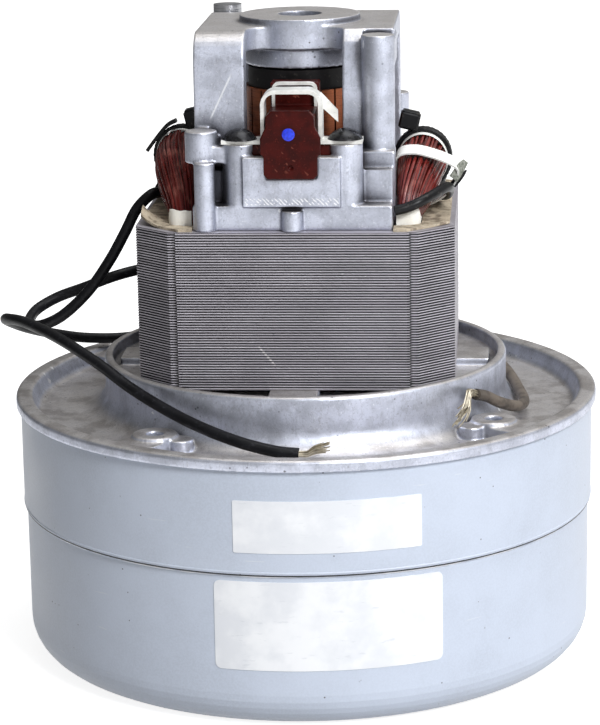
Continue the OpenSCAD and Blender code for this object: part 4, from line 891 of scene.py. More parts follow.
# Routes of the leads and of the sleeve on one coil end, in millimetres
LEAD_A = (
    (34, 5.2, 115.5), (34, 10, 115.5), (34, 18.2, 115.5), (34, 26.2, 115.5), (34, 32, 115.3),
    (33.9, 37, 113), (31.7, 39.8, 108), (28, 42.6, 101), (24, 45, 95), (19, 47.4, 89.5),
    (12, 49.5, 85), (2, 51.5, 82), (-9, 53, 79), (-24, 51.5, 75), (-38, 48, 70.5), (-50, 43, 68.5),
    (-61, 37, 69.5), (-69, 31, 72), (-74.8, 21, 76), (-77.6, 8, 81), (-75.3, -3, 84), (-69, -12, 85),
    (-59, -23, 83.5), (-48.2, -32.5, 79.6), (-39.9, -38.3, 75.2), (-30.4, -45.8, 71.7),
    (-21.2, -52.5, 69.1), (-11.5, -58, 67), (-3, -60, 65.4), (2.5, -60.2, 64.9))
LEAD_B = (
    (-36, 4, 116), (-36, 0.5, 116), (-38, -2.6, 115.8), (-41.5, -4, 112.4), (-44.6, -4.6, 106.5),
    (-48.6, -5, 99.5), (-54, -6.5, 92), (-61, -6, 85.5), (-67.5, -2, 82), (-71.5, 6, 81),
    (-71, 13.5, 82.5), (-66, 17.5, 85), (-59, 18, 87.5), (-51, 18, 90.5), (-44.5, 22, 91.5),
    (-40.5, 31, 90), (-35, 38.6, 86.8), (-27, 43.5, 83.2), (-17, 46.5, 80.6), (-8, 48.3, 79.2),
    (0, 50.3, 78), (7, 52.4, 75.2), (14, 52, 71.6), (22, 48.6, 69.4), (31, 43.4, 68.7),
    (39, 36.4, 68.4), (45.2, 28.4, 68), (49.4, 19.6, 67), (52.2, 10, 66), (54, 0, 65.3),
    (55.2, -8.5, 65), (55, -15.5, 65.4), (52.8, -22, 66.5), (49, -25.4, 68.4), (46, -28, 70.5),
    (43.5, -32, 72))
SLEEVE = (
    (24.3, -33.3, 117.4), (27.1, -32.7, 118), (30.3, -31.5, 119.2), (33.6, -27.7, 120.4),
    (36.1, -22.5, 121), (37, -18.3, 120.2), (36.6, -13, 117.8), (35.4, -7, 116.3),
    (34.2, 0, 115.6), (34, 5, 115.5))
SLEEVE_R = 1.25
SPLICE_R = 1.9
LEAD_POINTS = 220
# Middle of the splayed strands, from the end of each lead
REACH_A = Vector((7, 0.5, 1.4))
REACH_B = Vector((-4.5, -12, -3.6))
STRAND_R = 0.16
STRAND_SPLAY = 1.7


def lead(name, route, node, strands):
    """A lead as a free cord; the strands passed in are not used."""
    line = smooth_route(route, LEAD_POINTS)
    curve = bpy.data.curves.new(name, "CURVE")
    curve.dimensions = "3D"
    curve.bevel_depth = forms().lead / 2 * MM
    curve.bevel_resolution = 5
    curve.use_fill_caps = True
    spline = curve.splines.new("POLY")
    spline.points.add(len(line) - 1)
    for point, place in zip(spline.points, line):
        point.co = (*(place * MM), 1)
    spline.use_smooth = True
    obj = bpy.data.objects.new(name, curve)
    bpy.context.scene.collection.objects.link(obj)
    settle(obj, "lead_insulation", "housing", nodes=(node,), smooth=False)


def bare_strands(name, route, reach, node, seed):
    """Fine strands that leave the end of a lead and splay."""
    rng = random.Random(seed)
    line = smooth_route(route, LEAD_POINTS)
    tip = line[-1]
    ahead = (line[-1] - line[-2]).normalized()
    side = ahead.orthogonal().normalized()
    lift = ahead.cross(side)
    shape = Shape()
    for _ in range(forms().strands):
        turn = rng.uniform(0, math.tau)
        off = math.sqrt(rng.random())
        out = math.cos(turn) * side + math.sin(turn) * lift
        far = rng.uniform(0.72, 1.06)
        bow = out * off
        path = (
            tip - ahead * 0.8 + bow * 0.85, tip + ahead * 0.25 * reach.length + bow,
            tip + reach * 0.6 * far + bow * mix(1, STRAND_SPLAY, 0.6),
            tip + reach * far + bow * STRAND_SPLAY * rng.uniform(0.8, 1.4))
        shape.tube(smooth_route(path, 14), STRAND_R, 6)
    return shape.piece(name, "strand_copper", nodes=(node,))


class MOTOR_OT_leads(MotorOperator):
    """Lays the leads, their strands, the sleeve and the splice"""

    bl_idname = "motor.leads"
    bl_label = "Leads"

    def execute(self, context):
        ends_a = bare_strands("lead_a_bare_ends", LEAD_A, REACH_A, "lead_a_strands", 4)
        ends_b = bare_strands("lead_b_bare_ends", LEAD_B, REACH_B, "lead_b_strands", 9)
        lead("lead_a", LEAD_A, "lead_wire_a", ends_a)
        lead("lead_b", LEAD_B, "lead_wire_b", ends_b)
        sleeve = Shape()
        sleeve.tube(smooth_route(SLEEVE, 60), SLEEVE_R, 16)
        sleeve.piece("coil_end_sleeve", "black_tie", slot="lead_insulation", nodes=("coil_lead_sleeve",))
        low, high = span("lead_splice")
        middle = (low + high) / 2
        ends = [Vector((middle.x, y, middle.z)) for y in (low.y, low.y + 0.3, high.y - 0.3, high.y)]
        line = [ends[0], *[ends[1].lerp(ends[2], k / 12) for k in range(13)], ends[3]]
        splice = Shape()
        splice.tube(line, lambda t: SPLICE_R * (0.8 if t in (0.0, 1.0) else 1 - 0.04 * math.sin(9 * t)), 20)
        splice.piece("splice_sleeve", "lead_insulation", nodes=("lead_splice",))
        return {"FINISHED"}


# Seam of the drum: rolled edge of the upper shell, a dark ring painted as the shadow under that edge, and the
# edge of the lower shell, painted bright as worn metal and highlight.
# Each has the radius of its section and its height above the foot of the upper shell.
SEAM_BEAD = 0.42
SEAM_PROUD = 0.12
SHADOW_RING_R = 0.3
SHADOW_RING_Z = -0.12
EDGE_R = 0.24
EDGE_Z = -0.6


class MOTOR_OT_drum(MotorOperator):
    """Finishes the fan drum and its stickers, and beads the seam"""

    bl_idname = "motor.drum"
    bl_label = "Fan drum"

    def execute(self, context):
        for node in ("fan_shell_lower", "fan_shell_upper"):
            dress(node, "painted_shell")
        for node in ("upper_sticker", "lower_sticker"):
            dress(node, "sticker_paper")
        self.ring("seam_bead", "painted_shell", DRUM_HIGH.x - SEAM_BEAD + SEAM_PROUD, SEAM_BEAD, SEAM_BEAD)
        # The dark ring is painted shadow under the rolled edge.
        self.ring("seam_shadow_ring", "seam_shadow_dark", DRUM_HIGH.x - SHADOW_RING_R, SHADOW_RING_Z, SHADOW_RING_R)
        # Edge of the lower shell, painted bright: worn metal and painted highlight.
        self.ring("seam_edge", "seam_edge", SHELL_HIGH.x, EDGE_Z, EDGE_R)
        return {"FINISHED"}

    def ring(self, name, look, radius, height, section):
        """Round ring on the seam."""
        line = [
            Vector((radius * math.cos(t), radius * math.sin(t), DRUM_LOW.z + height))
            for t in (math.tau * k / 256 for k in range(256))]
        shape = Shape()
        shape.tube(line, section, 12, closed=True)
        shape.piece(name, look, slot="painted_shell")


def dress(node, look, bevel=0.0, smooth=True):
    """Gives a node of the frame its finish, and rounds its edges where asked."""
    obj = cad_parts[node]
    obj.data.materials.clear()
    obj.data.materials.append(finish(look))
    if bevel:
        weld = obj.modifiers.new("weld", "WELD")
        weld.merge_threshold = 0.002 * MM
        rounding = obj.modifiers.new("edges", "BEVEL")
        rounding.width = bevel * MM
        rounding.segments = 2
        rounding.limit_method = "ANGLE"
        rounding.angle_limit = math.radians(35)
        rounding.harden_normals = True
    return obj


def cast_copy(name, node, look, grid, rounds, keep, body="housing"):
    """Rounded copy of a node, as a casting or moulding comes out of its die."""
    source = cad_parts[node]
    mesh = source.data.copy()
    form = bmesh.new()
    form.from_mesh(mesh)
    bmesh.ops.remove_doubles(form, verts=form.verts, dist=0.004 * MM)
    form.to_mesh(mesh)
    form.free()
    obj = bpy.data.objects.new(name, mesh)
    bpy.context.scene.collection.objects.link(obj)
    remesh = obj.modifiers.new("grid", "REMESH")
    remesh.mode = "VOXEL"
    remesh.voxel_size = grid * MM
    relax = obj.modifiers.new("relax", "SMOOTH")
    relax.factor = 0.5
    relax.iterations = rounds
    thin = obj.modifiers.new("thin", "DECIMATE")
    thin.ratio = keep
    made = obj.evaluated_get(bpy.context.evaluated_depsgraph_get())
    obj.data = bpy.data.meshes.new_from_object(made)
    obj.modifiers.clear()
    bpy.data.meshes.remove(mesh)
    if len(obj.data.polygons) == 0:
        raise RuntimeError(f"{name}: nothing is left of {node}")
    return settle(obj, look, body, nodes=(node,), angle=60)


class MOTOR_OT_castings(MotorOperator):
    """Makes the two die-cast brackets"""

    bl_idname = "motor.castings"
    bl_label = "Castings"

    def execute(self, context):
        grid = forms().cast_grid
        rounds = forms().cast_rounds
        cast_copy("fan_end_casting", "fan_end_bracket", "cast_aluminium", grid * 1.2, rounds, 0.4)
        cast_copy("commutator_end_casting", "commutator_end_bracket", "cast_aluminium", grid, rounds, 0.5)
        return {"FINISHED"}


# Plan of a sheet of the stack: cut corners, with a notch at the front of each
CUT_X = 10
CUT_Y = 9
NOTCH_IN = 0.6
NOTCH_OUT = 1.4
WINDOW = Vector((30.5, 31.5))
WINDOW_R = 3.0


def sheet_outline():
    """Outline of one sheet, turning round the axis."""
    x = CORE_HIGH.x
    y = CORE_HIGH.y
    edge = x - CUT_X
    deep = NOTCH_OUT * CUT_Y / CUT_X
    corner = (
        (x, y - CUT_Y), (edge + NOTCH_OUT, y - deep), (edge - NOTCH_IN, y - deep), (edge - NOTCH_IN, y))
    front = [Vector((a, b, 0)) for a, b in corner]
    left = [Vector((-p.x, p.y, 0)) for p in reversed(front)]
    return front + left + [-p for p in front] + [-p for p in left]


class MOTOR_OT_stack(MotorOperator):
    """Stacks the sheets of the field core"""

    bl_idname = "motor.stack"
    bl_label = "Field core"

    def execute(self, context):
        rng = random.Random(17)
        outline = sheet_outline()
        pitch = forms().sheet_pitch
        count = round((CORE_HIGH.z - CORE_LOW.z) / pitch)
        pitch = (CORE_HIGH.z - CORE_LOW.z) / count
        gap = forms().sheet_gap
        sheets = Shape()
        for k in range(count):
            low = CORE_LOW.z + k * pitch + gap / 2
            high = low + pitch - gap
            slip = -rng.uniform(0.0, 0.04)
            levels = ((-1.2, low), (slip - 0.05, low), (slip, low + 0.08), (slip, high - 0.08),
                      (slip - 0.05, high), (-1.2, high))
            rings = []
            for p in outline:
                out = Vector((p.x / CORE_HIGH.x, p.y / CORE_HIGH.y, 0)).normalized()
                rings.append([p + out * a + Vector((0, 0, z)) for a, z in levels])
            sheets.sweep(rings, closed=True)
        sheets.piece("sheet_edges", "laminations", nodes=("field_core",), smooth=False)
        self.inner_faces()
        return {"FINISHED"}

    def inner_faces(self):
        """Ends, window and poles of the stack, without its outer sides."""
        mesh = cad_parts["field_core"].data.copy()
        form = bmesh.new()
        form.from_mesh(mesh)
        outer = [face for face in form.faces if self.is_outer(face)]
        bmesh.ops.delete(form, geom=outer, context="FACES")
        form.to_mesh(mesh)
        form.free()
        obj = bpy.data.objects.new("stack_inside", mesh)
        bpy.context.scene.collection.objects.link(obj)
        settle(obj, "laminations", "housing", smooth=False)

    def is_outer(self, face):
        """True for a face of the outer sides, or of a joint in them."""
        middle = face.calc_center_median() / MM
        if abs(face.normal.z) > 0.5:
            return CORE_LOW.z + 1 < middle.z < CORE_HIGH.z - 1
        return abs(middle.x) > WINDOW.x + 0.5 or abs(middle.y) > WINDOW.y + 0.5


CUFF_T = 0.4
CUFF_RISE = 4.2
CUFF_WAVE = 0.06
CUFF_SWAY = 0.16
CUFF_LEAN = 0.12
# The cuff falls from its full height to this after the slot's corner, by its share of the way round
SIDE_RISE = 1.2
FALL_AT = 0.5
FALL_RUN = 0.1
PAPER_DROP = 0.4
LINER_X0 = 24.6
LINER_IN = 15.6
BOARD_T = 0.6
BOARD_EDGE = 1.2
BOARD_IN = 24.0
CURL = 3.4
CURL_AT = 24.0
CURL_REACH = 9.0
# Share of the curl at the corners that lie nearly flat
FLAT_CURL = 0.12


class MOTOR_OT_papers(MotorOperator):
    """Fits the insulating paper: slot sleeves with cuffs, and the end boards"""

    bl_idname = "motor.papers"
    bl_label = "Insulating papers"

    def execute(self, context):
        cuffs = Shape()
        boards = Shape()
        for number, half in enumerate((Matrix.Identity(4), half_turn())):
            for side in (1, -1):
                flip = Matrix.Diagonal((1, side, 1, 1))
                cuffs.turned((self.cuff(2 * number + (side > 0)), half @ flip))
            boards.turned((self.board(number), half))
        cuffs.piece("slot_cuffs", "cuff_paper", slot="slot_paper", nodes=("slot_liners",))
        boards.piece("end_boards", "slot_paper")
        return {"FINISHED"}

    def cuff(self, seed):
        """Paper round one slot, standing up past the stack."""
        rng = random.Random(40 + seed)
        wave = wander(rng, 4)
        lean = wander(rng, 3)
        edge = WINDOW - Vector((0.2, 0.2))
        bend = WINDOW_R - 0.2
        path = [(Vector((mix(LINER_X0, edge.x - bend, k / 10), edge.y)), Vector((0, 1))) for k in range(11)]
        centre = edge - Vector((bend, bend))
        for k in range(1, 8):
            turn = math.radians(90 - 90 * k / 8)
            out = Vector((math.cos(turn), math.sin(turn)))
            path.append((centre + bend * out, out))
        path += [(Vector((edge.x, mix(edge.y - bend, LINER_IN, k / 12))), Vector((1, 0))) for k in range(13)]
        shape = Shape()
        rings = []
        for k, (place, out) in enumerate(path):
            t = k / (len(path) - 1)
            rise = mix(CUFF_RISE, SIDE_RISE, min(1, max(0, (t - FALL_AT) / FALL_RUN)))
            top = CORE_HIGH.z + rise * (1 + CUFF_WAVE * wave(t))
            tip = CUFF_SWAY * lean(t) + CUFF_LEAN
            inner = place - CUFF_T * out
            rings.append([
                (place.x, place.y, CORE_LOW.z - PAPER_DROP),
                (place.x, place.y, CORE_HIGH.z + 0.2),
                (place.x + tip * out.x, place.y + tip * out.y, top),
                (inner.x + tip * out.x, inner.y + tip * out.y, top),
                (inner.x, inner.y, CORE_HIGH.z + 0.2),
                (inner.x, inner.y, CORE_LOW.z - PAPER_DROP)])
        shape.sweep(rings)
        return shape

    def board(self, seed):
        """Board on the end of the stack beside one coil, its outer corners curled up."""
        rng = random.Random(70 + seed)
        wave = wander(rng, 4)
        reach = CORE_HIGH.y - BOARD_EDGE
        side = CORE_HIGH.x - BOARD_EDGE
        across = 9
        rings = []
        for k in range(81):
            y = mix(-reach, reach, k / 80)
            deep = abs(y)
            if deep < WINDOW.y - WINDOW_R:
                inner = WINDOW.x + 0.1
            elif deep < WINDOW.y:
                inner = WINDOW.x - WINDOW_R + math.sqrt(WINDOW_R ** 2 - (deep - WINDOW.y + WINDOW_R) ** 2)
            else:
                inner = BOARD_IN
            outer = min(side, side - CUT_X * (deep - reach + CUT_Y) / CUT_Y)
            curl = max(0.0, 1 - abs(deep - CURL_AT) / CURL_REACH)
            curl = curl * curl * (3 - 2 * curl) * (1 if seed and y > 0 else FLAT_CURL)
            row = []
            for j in range(across):
                u = j / (across - 1)
                lift = CURL * curl * max(0, (u - 0.3) / 0.7) ** 2
                row.append((mix(inner, outer, u), y, CORE_HIGH.z + 0.05 + lift * (1 + 0.15 * wave(k / 80))))
            rings.append(row + [(x, y, z + BOARD_T) for x, y, z in reversed(row)])
        shape = Shape()
        shape.sweep(rings)
        return shape


CORE_INSET = 1.0
WIRE_STEP = 0.25
WIRE_SINK = 0.14
WIRE_CLEAR = 0.02
LAYER_STEP = 1.3
DRIFT = 0.14
# Lean of the wires over the upper end turn
TWIST = math.radians(38)


def bundle(seed):
    """Fine wires round one coil, in two layers over a filled middle."""
    rng = random.Random(seed)
    steps = int(LOOP_STEPS / WIRE_STEP)
    wires = Shape()
    count = forms().wires
    radius = forms().wire / 2
    for layer in range(2):
        for w in range(count):
            turn = math.tau * (w + 0.5 * layer) / count
            drift = wander(rng)
            sink = wander(rng, 4)
            line = []
            for k in range(steps):
                i = k * WIRE_STEP
                t = k / steps
                bulge = WIRE_SINK * (0.6 + sink(t))
                inset = radius + WIRE_CLEAR + layer * radius * LAYER_STEP + max(0, bulge)
                run, arch = coil_part(i)
                leant = turn + DRIFT * drift(t) + (TWIST * math.sin(arch) if run == "top" else 0)
                line.append(on_bundle(i, even_turn(leant, i), inset))
            wires.tube(line, radius, 6, closed=True)
    rings = []
    for k in range(steps):
        i = k * WIRE_STEP
        rings.append([on_bundle(i, math.tau * n / 24, CORE_INSET) for n in range(24)])
    wires.sweep(rings, closed=True)
    return wires


RIDGE = 0.06
STRAP_ROUND = 0.7
STRAP_FLAT = 0.84


def strap_round(at, width, thick, lift, ridges=0):
    """Strap round the upper end turn, lying along the bundle."""
    half = width / 2 / (coil_mid(at + 0.5) - coil_mid(at - 0.5)).length
    across = (-1, -STRAP_FLAT, STRAP_FLAT, 1)
    rings = []
    for k in range(96):
        turn = math.tau * k / 96
        rib = RIDGE * math.cos(ridges * turn) if ridges else 0
        ring = []
        for s in across:
            high = (thick + rib) * (STRAP_ROUND if abs(s) == 1 else 1)
            ring.append(on_bundle(at + s * half, turn, -lift - high))
        ring += [on_bundle(at + s * half, turn, -lift) for s in reversed(across)]
        rings.append(ring)
    shape = Shape()
    shape.sweep(rings, closed=True)
    return shape


TIE_AT = 5.4
TIE_W = 2.6
TIE_T = 0.9
TIE_LIFT = 0.2
TIE_HEAD = Vector((5.0, 4.6, 4.3))
HEAD_LIP = Vector((4.2, 3.8, 0.5))
HEAD_TURN = math.radians(-20)
HEAD_TILT = math.radians(13)
HEAD_MID = 2.3
WRAP_W = 6.0
WRAP_T = 0.14
WRAP_LIFT = 0.03
TAPE_AT = 7.17
TAPE_W = 4.0
TAPE_T = 0.4
# Run of the tape round the coil and its sleeve: to the side of the coil's middle, and out of its loop
TAPE_RUN = (
    (-4.9, 6.0), (-1.2, 7.4), (3.6, 6.5), (8.2, 4.6), (9.6, 2.8), (8.6, -0.6), (5.2, -5), (0, -7.4),
    (-4.6, -5), (-5.6, 0.6))
# Loose ends: the tape's and one tie's beside the right coil, the other tie's over the left coil
TAPE_TAIL = (
    (38, -18, 122.4), (38.5, -18.2, 123.1), (39.3, -18.4, 124.4), (40.3, -18.6, 125.9), (41, -18.6, 126.8))
TAPE_TAIL_W = 2.4
TIE_TIP = ((37.8, -16.8, 120.6), (38.5, -17, 121.4), (39.8, -17.4, 122.8), (41.2, -17.6, 124.4))
TIE_TIP_W = 1.7
TIE_TAIL = ((-31.5, 1.4, 134), (-33.9, 1.4, 132.7), (-36.6, 1.4, 129.6), (-39, 1.4, 126.4))


def block(size, place, edge):
    """Block with bevelled edges, centred on a place."""
    rings = []
    top = size.z / 2
    for z, inset in ((-top, edge), (edge - top, 0), (top - edge, 0), (top, edge)):
        x = size.x / 2 - inset
        y = size.y / 2 - inset
        plan = (
            (x, edge - y), (x, y - edge), (x - edge, y), (edge - x, y), (-x, y - edge), (-x, edge - y),
            (edge - x, -y), (x - edge, -y))
        rings.append([place + Vector((a, b, z)) for a, b in plan])
    shape = Shape()
    shape.sweep(rings)
    return shape


def strip(line, width, thick, across, tip=1.0, count=15):
    """Flat strip along a line, its width lying along across and its end drawn in to tip times that."""
    rings = []
    points = smooth_route(line, count)
    for i, p in enumerate(points):
        ahead = (points[min(i + 1, len(points) - 1)] - points[max(i - 1, 0)]).normalized()
        face = ahead.cross(across).normalized() * thick / 2
        half = across * width / 2 * mix(1, tip, (i / (len(points) - 1)) ** 3)
        rings.append([p - half - face, p + half - face, p + half + face, p - half + face])
    shape = Shape()
    shape.sweep(rings)
    return shape


def tape_loop():
    """Flat tape drawn tight round the coil and the sleeve beside it."""
    middle = coil_mid(TAPE_AT)
    ahead, out, side = coil_axes(TAPE_AT)
    line = smooth_route([middle + side * a + out * b for a, b in TAPE_RUN], 90, closed=True)
    rings = []
    for i, p in enumerate(line):
        run = (line[(i + 1) % len(line)] - line[i - 1]).normalized()
        face = run.cross(ahead).normalized()
        if face.dot(p - middle) < 0:
            face = -face
        half = ahead * TAPE_W / 2
        face = face * TAPE_T
        rings.append([p - half, p + half, p + half + face, p - half + face])
    shape = Shape()
    shape.sweep(rings, closed=True)
    return shape


class MOTOR_OT_coils(MotorOperator):
    """Winds the field coils and binds them with ties and tape"""

    bl_idname = "motor.coils"
    bl_label = "Field coils"

    def execute(self, context):
        still = Matrix.Identity(4)
        for name, node, turn, seed in (
                ("coil_wires_right", "field_coil_right", still, 5),
                ("coil_wires_left", "field_coil_left", half_turn(), 8)):
            wound = Shape()
            wound.turned((bundle(seed), turn))
            wound.piece(name, "enamelled_wire", nodes=(node,))
        ties = Shape()
        wraps = Shape()
        for turn in (still, half_turn()):
            ties.turned((strap_round(TIE_AT, TIE_W, TIE_T, TIE_LIFT, 60), turn))
            head = on_bundle(TIE_AT, HEAD_TURN, -TIE_LIFT - TIE_T - HEAD_MID)
            tilt = turn @ Matrix.Translation(head) @ Matrix.Rotation(HEAD_TILT, 4, "Y")
            ties.turned((block(TIE_HEAD, Vector(), 0.5), tilt))
            ties.turned((block(HEAD_LIP, Vector((0, 0, TIE_HEAD.z / 2)), 0.2), tilt))
            wraps.turned((strap_round(TIE_AT, WRAP_W, WRAP_T, WRAP_LIFT), turn))
        up = Vector((0.8, 0, -0.6))
        ties.turned((strip(TIE_TAIL, TIE_W, TIE_T, Vector((0, 1, 0))), still))
        ties.turned((strip(TIE_TIP, TIE_TIP_W, 0.7, up, 0.1), still))
        ties.piece("coil_tie_straps", "black_tie", nodes=("coil_ties",))
        wraps.piece("coil_wraps", "white_tape")
        tape = tape_loop()
        tape.piece("lacing_tape", "white_tape", nodes=("coil_tape",))
        # The tape's loose end takes a greyed copy of the tape, which is painted shade.
        tail = strip(TAPE_TAIL, TAPE_TAIL_W, TAPE_T, up, 0.55)
        tail.piece("tape_tail", "tape_in_painted_shade", slot="white_tape")
        return {"FINISHED"}


DOT_R = 1.5
DOT_AT = (-0.38, 136.6)
COLLAR_T = 5.0
LIP_HALF = 5.1
LIP_LOW = 0.85
LIP_T = 0.7
LIP_W = 1.4
SPRING_R = 2.4
SPRING_WIRE = 0.6
SPRING_TURNS = 4


class MOTOR_OT_brush_gear(MotorOperator):
    """Finishes the brush holders, straps, screws, brushes and springs"""

    bl_idname = "motor.brush_gear"
    bl_label = "Brush gear"

    def execute(self, context):
        grid = forms().holder_grid
        for end, turn in (("front", Matrix.Identity(4)), ("rear", half_turn())):
            cast_copy(f"holder_{end}", f"brush_holder_{end}", "holder_moulding", grid, 3, 0.4)
            dress(f"brush_tube_{end}", "tube_brass")
            dress(f"brush_{end}", "carbon")
            dress(f"brush_clamp_{end}", "zinc_strip", bevel=0.2)
            self.dot(end, turn)
            self.spring(end, turn)
            self.strap_lip(end, turn)
        dress("clamp_screws", "black_steel")
        return {"FINISHED"}

    def strap_lip(self, end, turn):
        """Thin rear lip of a clamp strap, over the collar of its holder."""
        _, high = span("brush_holder_front")
        y = high.y - COLLAR_T - LIP_W / 2
        half = LIP_HALF
        top = high.z + LIP_T - LIP_LOW
        line = [(-half, y, top - 6), (-half, y, top - 3), (-half, y, top - 1.2), (-half + 0.4, y, top - 0.4),
                (-half + 1.4, y, top), (0, y, top), (half - 1.4, y, top), (half - 0.4, y, top - 0.4),
                (half, y, top - 1.2), (half, y, top - 3), (half, y, top - 6)]
        lip = Shape()
        lip.turned((strip(line, LIP_W, LIP_T, Vector((0, 1, 0)), count=60), turn))
        lip.piece(f"strap_lip_{end}", "zinc_strip")

    def dot(self, end, turn):
        """Paint dot on the face of a holder."""
        low, _ = span("brush_holder_front")
        x, z = DOT_AT
        rings = []
        for scale, proud in ((1.0, -0.2), (1.0, 0.05), (0.8, 0.14), (0.4, 0.18)):
            rings.append([
                Vector((x + DOT_R * scale * math.cos(t), low.y - proud, z + DOT_R * scale * math.sin(t)))
                for t in (math.tau * k / 32 for k in range(32))])
        drop = Shape()
        drop.sweep(rings)
        made = Shape()
        made.turned((drop, turn))
        made.piece(f"holder_dot_{end}", "holder_dot", slot="holder_moulding")

    def spring(self, end, turn):
        """Wound spring behind a brush, on a mesh of its own."""
        low, high = span("brush_spring_front")
        middle = (low + high) / 2
        steps = SPRING_TURNS * 24
        half = SPRING_WIRE / 2
        line = []
        for k in range(steps + 1):
            angle = math.tau * k / 24
            y = mix(high.y - half, low.y + half, k / steps)
            line.append(Vector((SPRING_R * math.cos(angle), y, middle.z + SPRING_R * math.sin(angle))))
        coil = Shape()
        coil.tube(line, half, 8)
        made = Shape()
        made.turned((coil, turn))
        piece = made.piece(f"brush_coil_{end}", "steel", nodes=(f"brush_spring_{end}",))
        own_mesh(piece)


INNER_LOOKS = {
    "fan_metal": (
        "stationary_fan", "interstage_plate", "fan1_shroud", "fan1_vanes", "fan1_backplate",
        "fan2_shroud", "fan2_vanes", "fan2_backplate"),
    "steel": (
        "shaft", "fan_spacer", "fan_washers", "fan_nut", "lower_bearing_outer", "lower_bearing_inner",
        "lower_bearing_balls", "upper_bearing_outer", "upper_bearing_inner", "upper_bearing_balls",
        "preload_washer", "through_bolts"),
    "tube_brass": ("lower_bearing_cage", "upper_bearing_cage"),
    "laminations": ("armature_core",),
    "moulding": ("commutator_hub",),
    "commutator_copper": ("commutator_bars",),
}
ARM_SLOTS = 12
ARM_SPAN = 5
ARM_WIRES = 9
ARM_SLOT_R = 17.0
ARM_EYE_R = 8.2
ARM_END = 9.0
ARM_WIRE = 0.7
ARM_EYE_SPREAD = 5.0
ARM_SLOT_OFF = 1.5
ARM_BAR_R = 0.72


class MOTOR_OT_rotor(MotorOperator):
    """Finishes the rotor, the fans and the bearings, and winds the armature"""

    bl_idname = "motor.rotor"
    bl_label = "Rotor and inner parts"

    def execute(self, context):
        for look, nodes in INNER_LOOKS.items():
            for node in nodes:
                dress(node, look)
        rng = random.Random(23)
        wound = Shape()
        for k in range(ARM_SLOTS):
            start = math.tau * k / ARM_SLOTS
            swing = math.tau * ARM_SPAN / ARM_SLOTS
            for base, up in ((CORE_HIGH.z, 1), (CORE_LOW.z, -1)):
                for w in range(ARM_WIRES):
                    high = ARM_END * (w + 1) / (ARM_WIRES + 1) + rng.uniform(-0.2, 0.2)
                    eye = ARM_EYE_R + ARM_EYE_SPREAD * (1 - (w + 1) / ARM_WIRES) + rng.uniform(-0.3, 0.3)
                    line = []
                    for n in range(15):
                        t = n / 14
                        arch = math.sin(math.pi * t)
                        radius = mix(ARM_SLOT_R + 1.2, eye, arch ** 0.7)
                        angle = start + swing * t
                        z = base + up * (high * min(1, 2.2 * arch) - 0.3)
                        line.append(Vector((radius * math.cos(angle), radius * math.sin(angle), z)))
                    wound.tube(line, ARM_WIRE / 2, 6)
            for n in range(7):
                turn = math.tau * n / 6
                off = 0 if n == 6 else ARM_SLOT_OFF
                place = Vector((ARM_SLOT_R + off * math.cos(turn), off * math.sin(turn), 0))
                place = Matrix.Rotation(start, 3, "Z") @ place
                ends = [place + Vector((0, 0, z)) for z in (CORE_LOW.z - 0.5, CORE_HIGH.z + 0.5)]
                wound.tube(ends, ARM_BAR_R, 8)
        wound.piece("armature_wires", "enamelled_wire", body="rotor", nodes=("armature_winding",))
        return {"FINISHED"}


FLOOR_SIDE = 6.0
FLOOR_TONE = (0.45, 0.45, 0.45)
# Glow of the floor as it is seen: near the unit and further off, with the reach of each in metres
GLOW_NEAR = 0.85
GLOW_FAR = 1.0
GLOW_REACH = (0.12, 0.5)
# What metal mirrors of the glow ends on the dim side, along a line that leans with the view
GLOW_EDGE = (-0.4, -0.16)
GLOW_LEAN = 0.16
AIM = Vector((0, 0, 0.08))
KEY_AT = Vector((0.66, -0.92, 0.9))
KEY_SIZE = 0.5
TOP_AT = Vector((0.25, 0.1, 1.25))
TOP_SIZE = 0.9
KEY_TINT = (0.96, 0.98, 1.0)
SKY_TINT = (1.0, 0.985, 0.96)
BRIGHT_SIDE = (0.85, -0.3, 0.43)


def lamp(name, place, power, size):
    data = bpy.data.lights.new(name, "AREA")
    data.energy = power
    data.color = KEY_TINT
    data.shape = "DISK"
    data.size = size
    obj = bpy.data.objects.new(name, data)
    bpy.context.scene.collection.objects.link(obj)
    obj.location = place
    obj.rotation_euler = (AIM - place).to_track_quat("-Z", "Y").to_euler()
    return obj


